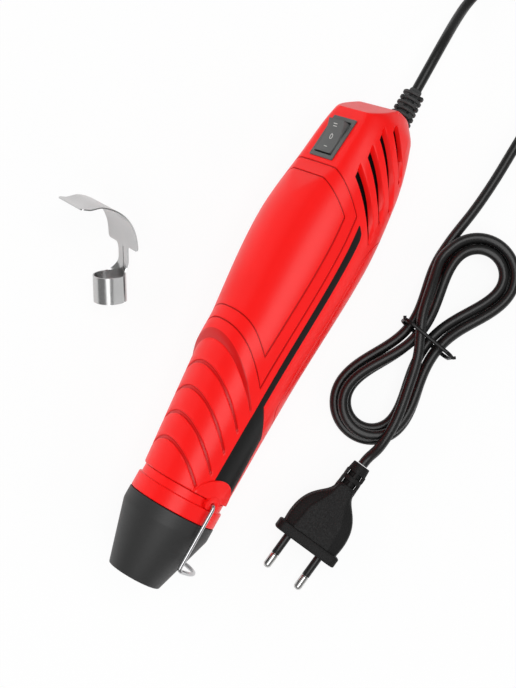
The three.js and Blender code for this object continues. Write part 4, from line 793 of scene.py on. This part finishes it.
def make_ear(name, side):
    start = X_SHELL + 0.15
    end = math.acos((start - X_PIVOT) / EAR_R)
    rim = [(X_PIVOT + EAR_R * math.cos(t), EAR_R * math.sin(t)) for t in np.linspace(-end, end, 57)]
    rim += [(start, z) for z in np.linspace(rim[-1][1], rim[0][1], 17)[1:-1]]
    rim = np.array(rim)
    centre = np.array([start + 4.5, 0])
    steps = [(share, EAR_PROUD) for share in (0.0, 0.3, 0.6, 0.85, 0.965)]
    rings = []
    for share, proud in steps + [(0.985, 0.8 * EAR_PROUD), (1.0, 0.45 * EAR_PROUD), (1.0, -1.2)]:
        x, z = (centre + share * (rim - centre)).T
        rings.append(grid(x, side * np.minimum(side_y(x, z, proud), EAR_FACE), z))
    build = Build().rings(rings, caps=False)
    build.add(rings[-1], [range(len(rim))])
    angle = around(48)
    boss = []
    for r, y in ((BOSS_R, 20.9), (BOSS_R, EAR_FACE + 0.05), (BOSS_R - 0.35, EAR_FACE + 0.25),
                 (1.5, EAR_FACE + 0.25), (1.15, EAR_FACE + 0.05), (1.15, 20.0)):
        x = np.maximum(X_PIVOT + r * np.cos(angle), 44.3)
        boss.append(grid(x, side * y, r * np.sin(angle)))
    build.rings(boss, closed=True)
    piece(name, build, RED)


make_ear("pivot_pad_left", 1)
make_ear("pivot_pad_right", -1)


# Nose cone, collar and outlet tube

def turned_piece(name, outline, radii, material, node):
    build = Build().rings(lathe(eased(outline, radii), 128), closed=True)
    piece(name, build, material, node)


turned_piece(
    "cone_moulding",
    [(0, 13.2), (29.6, 22), (36, 22), (36, 19.5), (38, 19.5), (38, 17.1), (29.6, 17.1), (1.5, 10.8),
     (0, 10.8)],
    [0.5, 0.9, 0.4, 0.2, 0.2, 0.2, 0.6, 0.4, 0.5],
    CHARCOAL, "nose_cone",
)
turned_piece(
    "collar_moulding",
    [(36.3, 21.8), (44, 21.8), (44, 20.6), (48.2, 20.6), (48.2, 19.3), (54.5, 19.3), (54.5, 17.3),
     (40, 17.3), (40, 15.7), (38.3, 15.7), (38.3, 19.8), (36.3, 19.8)],
    [0.5, 0.5, 0.3, 0.2, 0.2, 0.3, 0.3, 0.2, 0.2, 0.2, 0.2, 0.2],
    RED, "collar_ring",
)
turned_piece(
    "outlet_liner",
    [(1.5, 7.9), (26, 7.9), (38, 15.4), (44, 15.4), (44, 14.8), (38, 14.8), (26, 7.3), (1.5, 7.3)],
    [0.25, 1.5, 1.5, 0.2, 0.2, 1.5, 1.5, 0.25],
    TUBE, "outlet_tube",
)


# Stand

def make_stand():
    leg_y, loop_x, bend = 23.785, X_PIVOT - 33, 2.2
    foot, elbow = (X_PIVOT, leg_y - 5.4, 0), (X_PIVOT, leg_y, 0)
    corners = foot, elbow, (loop_x, leg_y, 0), (loop_x, leg_y, -3 * bend)
    leg = np.array(eased(corners, [0, bend, bend, 0], 12)[:-1])
    begin = math.asin(-leg[-1][2] / leg_y)
    turn = np.linspace(begin, math.pi - begin, 74)[1:-1]
    loop = grid(loop_x, leg_y * np.cos(turn), -leg_y * np.sin(turn))
    build = Build().rings(tube(np.concatenate([leg, loop, leg[::-1] * [1, -1, 1]]), 1.0, 20))
    piece("stand_bail", build, WIRE, "stand_wire", "stand", sharp=40)


make_stand()


# Label on the side

LABEL_FOOT = [(54, -11.2), (55, -11.2), (84, -7.8), (91.5, -1.4), (97.3, 3.8), (122, 4.35), (184, 6.15),
              (186.8, 6.9), (189.6, 9.6)]


def make_label():
    x = [*np.linspace(54, 84, 26), *np.linspace(84, 98, 22)[1:], *np.linspace(98, 189.6, 70)[1:]]
    x = np.array(x)[:, None]
    upper = np.interp(x, [54, 189.6], [5.5, 10.2])
    lower = np.interp(x, *zip(*LABEL_FOOT))
    x, z = np.broadcast_arrays(x, lower + (upper - lower) * np.linspace(0, 1, 13))
    skins = [grid(x, inset - skin_y(x, z), z) for inset in (-0.07, 0.25)]
    piece("side_label", Build().slab(*skins), LABEL, "label")


make_label()


# Rocker switch

PRESS = math.radians(-11)  # the rocker's tilt at rest
ROCKER_HALF, ROCKER_WIDTH = 8.0, 5.2


def on_switch(points):
    """From the switch's frame, x along its face and z out of it, to metres."""
    return laid(spun(points, 0, 2, FACET_TILT) + [SWITCH_X, 0, SWITCH_Z])


def pressed(points):
    return on_switch(spun(points, 0, 2, PRESS))


def rounded_ring(half_x, half_y, z, corner, per=6):
    points = []
    for way_x, way_y, start in ((1, 1, 0), (-1, 1, 90), (-1, -1, 180), (1, -1, 270)):
        for a in np.radians(np.linspace(start, start + 90, per + 1)):
            x = way_x * (half_x - corner) + corner * math.cos(a)
            points.append([x, way_y * (half_y - corner) + corner * math.sin(a), z])
    return points


def dish(x):
    """The height of the rocker's hollow face."""
    return 1.6 + 1.6 * (np.abs(x) / ROCKER_HALF) ** 1.8


def make_switch():
    levels = [
        (8.95, 5.6, -6.9, 0.3), (8.95, 5.6, -3.5, 0.3), (8.95, 5.6, 0.6, 0.3), (9.1, 5.75, 0.75, 0.4),
        (10.75, 7.4, 0.75, 0.4), (10.95, 7.6, 0.55, 0.5), (10.95, 7.6, 0.02, 0.5), (10, 6.5, 0.02, 0.4),
        (10, 6.5, -13.7, 0.4),
    ]
    build = Build().rings([rounded_ring(*level) for level in levels])
    piece("switch_frame", build, SWITCH, "switch_body", place=on_switch)

    xs = np.linspace(-ROCKER_HALF, ROCKER_HALF, 33)
    foot = [(1, -1.6), (0.55, -3.2), (-0.55, -3.2), (-1, -1.6)]
    outline = [*zip(xs, dish(xs)), *((share * ROCKER_HALF, z) for share, z in foot)]
    sides = [(-ROCKER_WIDTH, 0.35), (0.1 - ROCKER_WIDTH, 0.1), (0.35 - ROCKER_WIDTH, 0), (0, 0)]
    sides += [(-y, shrink) for y, shrink in sides[2::-1]]
    build = Build().rings([
        [[x * (1 - shrink / ROCKER_HALF), y, z - math.copysign(shrink, z)] for x, z in outline]
        for y, shrink in sides
    ])
    build.rings(tube([[0, y, 0] for y in np.linspace(-5.9, 5.9, 8)], 0.9, 14))
    piece("rocker", build, SWITCH, "rocker_button", "rocker", pressed)

    low, high, stroke = -0.1, 0.08, 0.17
    marks = Build()
    for x, long in ((4.9, 1.2), (6.0, 1.2), (-5.2, 1.0)):
        corners = (x - stroke, high), (x + stroke, high), (x + stroke, low), (x - stroke, low)
        marks.rings([[[u, y, dish(u) + z] for u, z in corners] for y in np.linspace(-long, long, 7)])
    ovals = []
    for a, b, z in ((1.35, 0.95, low), (1.35, 0.95, high), (1.0, 0.6, high), (1.0, 0.6, low)):
        x, y = a * np.cos(around(24)), b * np.sin(around(24))
        ovals.append(grid(x, y, dish(x) + z))
    marks.rings(ovals, closed=True)
    piece("rocker_marks", marks, MARK, None, "rocker", pressed)


make_switch()


# Strain relief

def make_relief():
    ribs, pitch, thick, root = 6, 2.8, 1.4, 2.8

    def at(x, r, turn):
        return [x, r * math.sin(turn), CORD_DROP + r * math.cos(turn)]

    core = [(236, 2.55), (236, 3.6), (236.2, 3.8), (247.1, 3.8), (247.6, 3.3), (258, 3.15), (264.3, 3.1),
            (264.9, 2.9), (264.9, 2.55)]
    build = Build().rings(lathe(core, 40) + [0, 0, CORD_DROP], closed=True)
    for i in range(ribs):
        x0, outer_r = 247.3 + i * pitch, 6.0 - 0.13 * i
        rib = eased([(x0, root), (x0, outer_r), (x0 + thick, outer_r), (x0 + thick, root)], 0.45, 3)
        for half in (0, math.pi):
            middle = half + math.radians(0 if i % 2 else 90)
            arc = middle + np.radians(np.linspace(-76, 76, 28))
            build.rings([[at(x, r, t) for x, r in rib] for t in arc])
            if i < ribs - 1:
                low, high = (middle + math.pi / 2 + wide for wide in (-0.3, 0.3))
                web = (root, low), (root, high), (outer_r - 1.1, high), (outer_r - 1.1, low)
                ends = x0 + 0.2, x0 + pitch + thick - 0.2
                build.rings([[at(x, r, t) for r, t in web] for x in ends])
    piece("lead_sleeve", build, RELIEF, "strain_relief")


make_relief()


# Tie round the hank

def make_tie():
    half, low, high, corner, thick = WAIST + CORD_R + 1.3, 1.25, 18.7, 4.6, 0.95
    outline = rounded_ring(half, (high - low) / 2, (high + low) / 2, corner, 12)
    path = [on_hank(0, q, middle + z) for q, z, middle in outline]
    wide = np.array([*along_hank, 0])
    rings = []
    for i, p in enumerate(path):
        out_of = np.cross(unit(path[(i + 1) % len(path)] - path[i - 1]), wide)
        rings.append([p + thick * (math.cos(w) * wide + 0.8 * math.sin(w) * out_of) for w in around(14)])
    build = Build().rings(rings, closed=True)
    for side in (-1, 1):
        start = on_hank(0, side * (half - 0.6), 15.8)
        out = side * across_hank
        stub = [start, start + [*(0.9 * out), 0.5], start + [*(1.9 * out + along_hank), 0.6]]
        build.rings(tube(catmull(stub, 5), 0.8, 10))
    piece("twist_tie", build, TIE, "cable_tie", place=metres, sharp=40)


make_tie()


# Plug

def on_plug(points):
    """From the plug's frame, x along its pins and z up, to metres."""
    return metres(spun(points, 0, 1, -PLUG_TURN) + PLUG_AT)


def make_plug():
    body, half, neck = 34.0, 15.3, 5.2
    t = np.linspace(0, 1, 200)[:, None]
    corners = (5.2, half), (0.765 * body, 1.18 * half), (0.795 * body, neck), (body, neck)
    a, b, c, d = np.array(corners)
    curve = (1 - t) ** 3 * a + 3 * t * (1 - t) ** 2 * b + 3 * t * t * (1 - t) * c + t**3 * d
    quarters = (1, 1, 1), (-1, 1, -1), (-1, -1, 1), (1, -1, -1)
    rings = []
    for s in [*np.linspace(4.6, 33, 44), *np.linspace(33.5, 34.6, 3)]:
        wide = np.interp(s, curve[:, 0], curve[:, 1])
        tall = np.interp(s, [4.6, 6, 20, 34.6], [6.0, 6.1, 6.0, 4.9])
        flat = np.interp(s, [4.6, 18, 28, 34.6], [10.4, 9.3, 4.9, 3.6])
        shoulder = np.interp(s, [4.6, 20, 34.6], [4.2, 4.1, 3.2])
        quarter = [(wide, 0.9), (wide - 0.9, shoulder), (flat + 0.5, tall - 0.55), (flat - 0.5, tall)]
        outline = [(a * y, b * z) for a, b, order in quarters for y, z in quarter[::order]]
        rings.append([[-s, y, z] for y, z in eased(outline, 0.7, 3)])
    build = Build().rings(rings)
    plate = []
    for s, grow in ((0.0, -0.7), (0.25, -0.2), (0.7, 0.0), (4.5, 0.0), (5.0, -0.25), (5.25, -0.8)):
        plate.append([[-s, y, z] for y, z, _ in rounded_ring(17 + grow, 6.85 + grow, 0, 3.4, 7)])
    build.rings(plate)
    for x0, x1, r0, r1 in ((-33, -36, 5.4, 5.3), (-38.4, -40.8, 5.2, 5.05), (-43.2, -48, 4.95, 4.4)):
        bead = eased([(x0, 0.01), (x0, r0), (x1, r1), (x1, 0.01)], [0, 0.35, 0.45, 0], 4)
        build.rings(lathe(bead, 48, 0.92))
    for ends in ((-35.6, -38.8), (-40.4, -43.6)):
        build.rings(lathe([(x, 3.35) for x in ends], 48, 2.6 / 3.35))
        for low, high, tall in ((-5.0, -3.7, 2.6), (-0.75, 0.75, 4.5), (3.7, 5.0, 2.6)):
            bridge = eased([(low, -tall), (high, -tall), (high, tall), (low, tall)], 0.25, 2)
            build.rings([[[x, y, z] for y, z in bridge] for x in ends])
    piece("plug_moulding", build, PLUG, "plug_body", place=on_plug)

    pin = [(-5, 0.02), (-5, 1.3), (11.0, 1.3), (11.1, 1.75), (11.35, 2.0), (16.9, 2.0), (17.7, 1.72),
           (18.25, 1.2), (18.5, 0.6), (18.5, 0.02)]
    cover = [(0.3, 1.6), (0.3, 1.95), (10.6, 1.95), (10.8, 1.8), (10.8, 1.6)]
    for number, y in (("_1", -9.0), ("_2", 9.0)):
        build = Build().rings(lathe(pin, 32) + [0, y, 0])
        piece("pin" + number, build, PIN, "plug_pin" + number, place=on_plug, sharp=40)
        build = Build().rings(lathe(cover, 32) + [0, y, 0], closed=True)
        node = "pin_sleeve" + number
        piece("pin_cover" + number, build, CORD, node, place=on_plug, sharp=40)


make_plug()


# Reflector

REFLECTOR_AXES = np.array([(-0.585, 0.684, 0.435), (-0.059, -0.571, 0.819), (0.809, 0.454, 0.375)])
REFLECTOR_AT = np.array([-68.7, 71.4, 7.69])


def on_reflector(points):
    return metres(np.asarray(points, float) @ REFLECTOR_AXES + REFLECTOR_AT)


RING_R, RING_HEIGHT, SHEET_THICK = 7.7, 13.0, 0.6
STEM_HALF, STEM_TOP = 5.5, 27.0
SCOOP_HALF, LIP_HALF, SCOOP_DEPTH, SCOOP_HEIGHT, SCOOP_SQUARE = 17.5, 15.0, 26.4, 23.4, 2.6
SLIT_AT = (128.0, 325.0)
SLIT_HALF = 4.8  # degrees


def scoop_line():
    """Distance along the scoop from the stem, and its [x, z], drooping and levelling out at the lip."""
    arc = np.linspace(0, math.pi / 2, 400)
    power = 2 / SCOOP_SQUARE
    x = -RING_R + SCOOP_DEPTH * (1 - np.cos(arc) ** power)
    z = STEM_TOP + SCOOP_HEIGHT * np.sin(arc) ** power
    far = distances(np.stack([x, z], -1))
    back = far - far[-1] + 11.0
    z = z - 1.3 * smooth(back / 7) + 0.6 * smooth((back - 6) / 5)
    return far, x, z


def make_reflector():
    far, line_x, line_z = scoop_line()

    def on_sheet(u, v):
        """From the flat sheet, u across from the stem's middle and v along from the ring's foot."""
        curl = np.maximum((1 - smooth((v - RING_HEIGHT) / 7.0)) / RING_R, 1e-4)
        x = -RING_R + (1 - np.cos(curl * u)) / curl
        y = np.sin(curl * u) / curl
        past = v - STEM_TOP
        x = np.where(past > 0, np.interp(past, far, line_x), x)
        z = np.where(past > 0, np.interp(past, far, line_z), v)
        bead = 0.42 * (1 - smooth(np.abs(u) / 0.75))
        bead = bead * smooth((v - 11) / 2) * (1 - smooth((v - 25.5) / 2))
        return grid(x - bead, y, z)

    build = Build()

    def add_sheet(levels, low, high, across):
        """A piece of the sheet between two edges at each level, as a closed body."""
        u = low[:, None] + (high - low)[:, None] * np.linspace(0, 1, across)
        v = np.broadcast_to(levels[:, None], u.shape)
        step = 1e-3
        run = on_sheet(u + step, v) - on_sheet(u - step, v)
        half = unit(np.cross(run, on_sheet(u, v + step) - on_sheet(u, v - step))) * SHEET_THICK / 2
        build.slab(on_sheet(u, v) + half, on_sheet(u, v) - half)

    def fillet(radius, height):
        rest = np.clip(radius - height, 0, radius)
        return radius - np.sqrt(radius**2 - rest**2)

    first, second = SLIT_AT
    levels = np.array([0.0, 0.25, 6.5, RING_HEIGHT - 0.25, RING_HEIGHT])
    for start, end in ((first, second), (second - 360, first)):
        low, high = (np.full(len(levels), math.radians(180 - turn) * RING_R)
                     for turn in (end - SLIT_HALF, start + SLIT_HALF))
        add_sheet(levels, low, high, 61)

    foot_in, foot_out, top_fillet = 1.6, 6.5, 3.0
    quarter = math.pi / 2
    levels = np.concatenate([
        RING_HEIGHT - 0.02 + foot_out * (1 - np.cos(np.linspace(0, quarter, 12))),
        np.linspace(20.5, STEM_TOP - top_fillet, 5),
        STEM_TOP - top_fillet * np.cos(np.linspace(0.2, quarter, 9)),
    ])
    grow = fillet(top_fillet, STEM_TOP - levels)
    right_edge = STEM_HALF + np.maximum(fillet(foot_in, levels - RING_HEIGHT), 0.25 * grow)
    left_edge = STEM_HALF + np.maximum(fillet(foot_out, levels - RING_HEIGHT), grow)
    add_sheet(levels, -left_edge, right_edge, 41)

    corner, lip_corner, end = 2.4, 1.7, far[-1]
    levels = np.concatenate([
        corner * (1 - np.cos(np.linspace(0, quarter, 8))),
        np.linspace(corner + 0.8, end - 4, 46),
        end - lip_corner * (1 - np.sin(np.linspace(0, quarter, 8))),
    ])
    half = SCOOP_HALF + (LIP_HALF - SCOOP_HALF) * levels / end
    half = half - fillet(corner, levels) - fillet(lip_corner, end - levels)
    add_sheet(STEM_TOP - 0.02 + levels, -half, half, 41)
    piece("reflector_sheet", build, SHEET, "reflector", "reflector", on_reflector, 35)


make_reflector()


# Solids that show as they are, or sit inside

def dress(material, *names):
    for name in names:
        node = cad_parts[name]
        node.data.materials.clear()
        node.data.materials.append(material)


dress(CORD, "cord_inner")
dress(surface("mica", (0.46, 0.37, 0.22), 0.2, (0.35, 0.6), 1.2, 0.4), "mica_sleeve", "heater_frame")
dress(surface("heater_alloy", (0.30, 0.28, 0.26), 0.15, (0.35, 0.5), 0.3, 0.2, 1.0), "heating_coil")
dress(surface("ceramic", (0.78, 0.75, 0.68), 0.06, (0.6, 0.75), 0.3, 0.4),
      "heater_terminal_block", "thermal_cutout")
dress(surface("lead_sleeving", (0.72, 0.70, 0.65), 0.1, (0.7, 0.85), 0.25, 0.8),
      "heater_lead_1", "heater_lead_2")
dress(surface("nylon", (0.68, 0.67, 0.62), 0.05, (0.4, 0.52), 0.4, 0.15),
      "air_guide", "motor_end_cap", "cord_clamp")
dress(surface("fan_plastic", 0.03, 0.15, (0.4, 0.5), 0.4, 0.2), "fan_impeller")
dress(surface("copper_winding", (0.50, 0.20, 0.08), 0.15, (0.3, 0.42), 0.3, 0.5, 1.0), "armature")
dress(surface("brass", (0.55, 0.42, 0.16), 0.06, (0.25, 0.36), 0.3, 0.1, 1.0),
      "motor_tab_1", "motor_tab_2", "switch_terminal_1", "switch_terminal_2", "switch_terminal_3")
dress(surface("circuit_board", (0.03, 0.15, 0.05), 0.1, (0.35, 0.5), 0.4, 0.2), "rectifier_board")
dress(surface("diode_resin", 0.02, 0.15, (0.4, 0.5), 0.3, 0.15),
      "diode_1", "diode_2", "diode_3", "diode_4")
dress(surface("live_insulation", (0.20, 0.07, 0.02), 0.06, (0.4, 0.5), 0.3, 0.1), "wire_live")
dress(surface("neutral_insulation", (0.02, 0.08, 0.35), 0.06, (0.4, 0.5), 0.3, 0.1), "wire_neutral")
dress(surface("machine_steel", (0.55, 0.55, 0.56), 0.06, (0.28, 0.40), 0.3, 0.15, 1.0),
      "motor_shaft", "motor_can", "shell_screw_1", "shell_screw_2", "shell_screw_3", "shell_screw_4",
      "clamp_screw_1", "clamp_screw_2")

tuple(metres(EXIT))


# Floor and light

def by_ray(tree, level, shares):
    """A level, and a share more for each kind of ray."""
    for seen, share in shares.items():
        inputs = {0: add_node(tree, "LightPath", seen, {}), 1: share, 2: level}
        level = add_node(tree, "Math", "Value", inputs, operation="MULTIPLY_ADD")
    return level


def show_mix(tree, factor, first, second):
    """Sends a mix of two shaders to the material's output."""
    mix = add_node(tree, "MixShader", "Shader", {"Fac": factor, 1: first, 2: second})
    feed(tree, tree.nodes["Material Output"], {"Surface": mix})


FLOOR_HALF, FLOOR_STEPS = 100.0, 16


def make_floor():
    mesh = bpy.data.meshes.new("floor")
    line = np.linspace(-FLOOR_HALF, FLOOR_HALF, FLOOR_STEPS + 1)
    wide = len(line)
    starts = [j * wide + i for j in range(FLOOR_STEPS) for i in range(FLOOR_STEPS)]
    faces = [(c, c + 1, c + wide + 1, c + wide) for c in starts]
    mesh.from_pydata([(x, y, 0.0) for y in line for x in line], [], faces)
    floor = linked("floor", mesh)
    floor.location.z = -0.0001
    material, tree = new_material("pale_floor")
    shader = tree.nodes["Principled BSDF"]
    feed(tree, shader, {"Base Color": (0.9, 0.9, 0.9, 1), "Roughness": 0.9, "Specular IOR Level": 0.1})
    shares = {"Is Camera Ray": 0.92, "Is Glossy Ray": 0.15, "Is Transmission Ray": 0.92}
    white = add_node(tree, "Emission", "Emission", {"Strength": 1.0})
    show_mix(tree, by_ray(tree, 0.0, shares), shader.outputs["BSDF"], white)
    mesh.materials.append(material)


make_floor()


def make_card(name, centre, side_a, side_b, level):
    """A card in millimetres that only reflections show, from the side that side_a x side_b points to."""
    centre, side_a, side_b = (metres(v) for v in (centre, side_a, side_b))
    ways = (-1, -1), (1, -1), (1, 1), (-1, 1)
    mesh = bpy.data.meshes.new(name)
    mesh.from_pydata([tuple(centre + a * side_a + b * side_b) for a, b in ways], [], [(0, 1, 2, 3)])
    card = linked(name, mesh)
    card.visible_camera = card.visible_diffuse = card.visible_transmission = False
    card.visible_volume_scatter = card.visible_shadow = False
    material, tree = new_material(name)
    back = add_node(tree, "NewGeometry", "Backfacing", {})
    glow = add_node(tree, "Emission", "Emission", {"Strength": level})
    show_mix(tree, back, glow, add_node(tree, "BsdfTransparent", "BSDF", {}))
    mesh.materials.append(material)


# A white card keeps the red body out of the reflector's ring.
make_card("white_card", (-52.6, 52, 25), (-61, -34.3, 0), (0, 0, 25), 0.8)

SKY = 0.2
world = bpy.data.worlds.new("studio")
scene.world = world
world.use_nodes = True
sky_shares = {"Is Glossy Ray": 0.05, "Is Transmission Ray": 0.7, "Is Camera Ray": 0.75}
sky = {"Color": (1, 1, 1, 1), "Strength": by_ray(world.node_tree, SKY, sky_shares)}
feed(world.node_tree, world.node_tree.nodes["Background"], sky)


def softbox(name, place, aim, size, power):
    lamp = bpy.data.lights.new(name, "AREA")
    lamp.shape = "RECTANGLE"
    lamp.size, lamp.size_y = size
    lamp.energy = power
    box = linked(name, lamp)
    box.location = place
    box.rotation_euler = (Vector(aim) - Vector(place)).to_track_quat("-Z", "Y").to_euler()
    return box


softbox("overhead", (-0.2, -0.12, 1.15), (-0.2, -0.02, 0.0), (1.8, 0.7), 9.7)
side = softbox("left_side", (-0.05, 2.0, 0.68), (-0.05, 0.0, 0.02), (2.8, 1.32), 30)
fill = softbox("right_fill", (-0.05, -2.4, 1.2), (-0.05, 0.0, 0.02), (3.2, 2.0), 36)
side.visible_glossy = fill.visible_glossy = False

scene.view_settings.view_transform = "Standard"
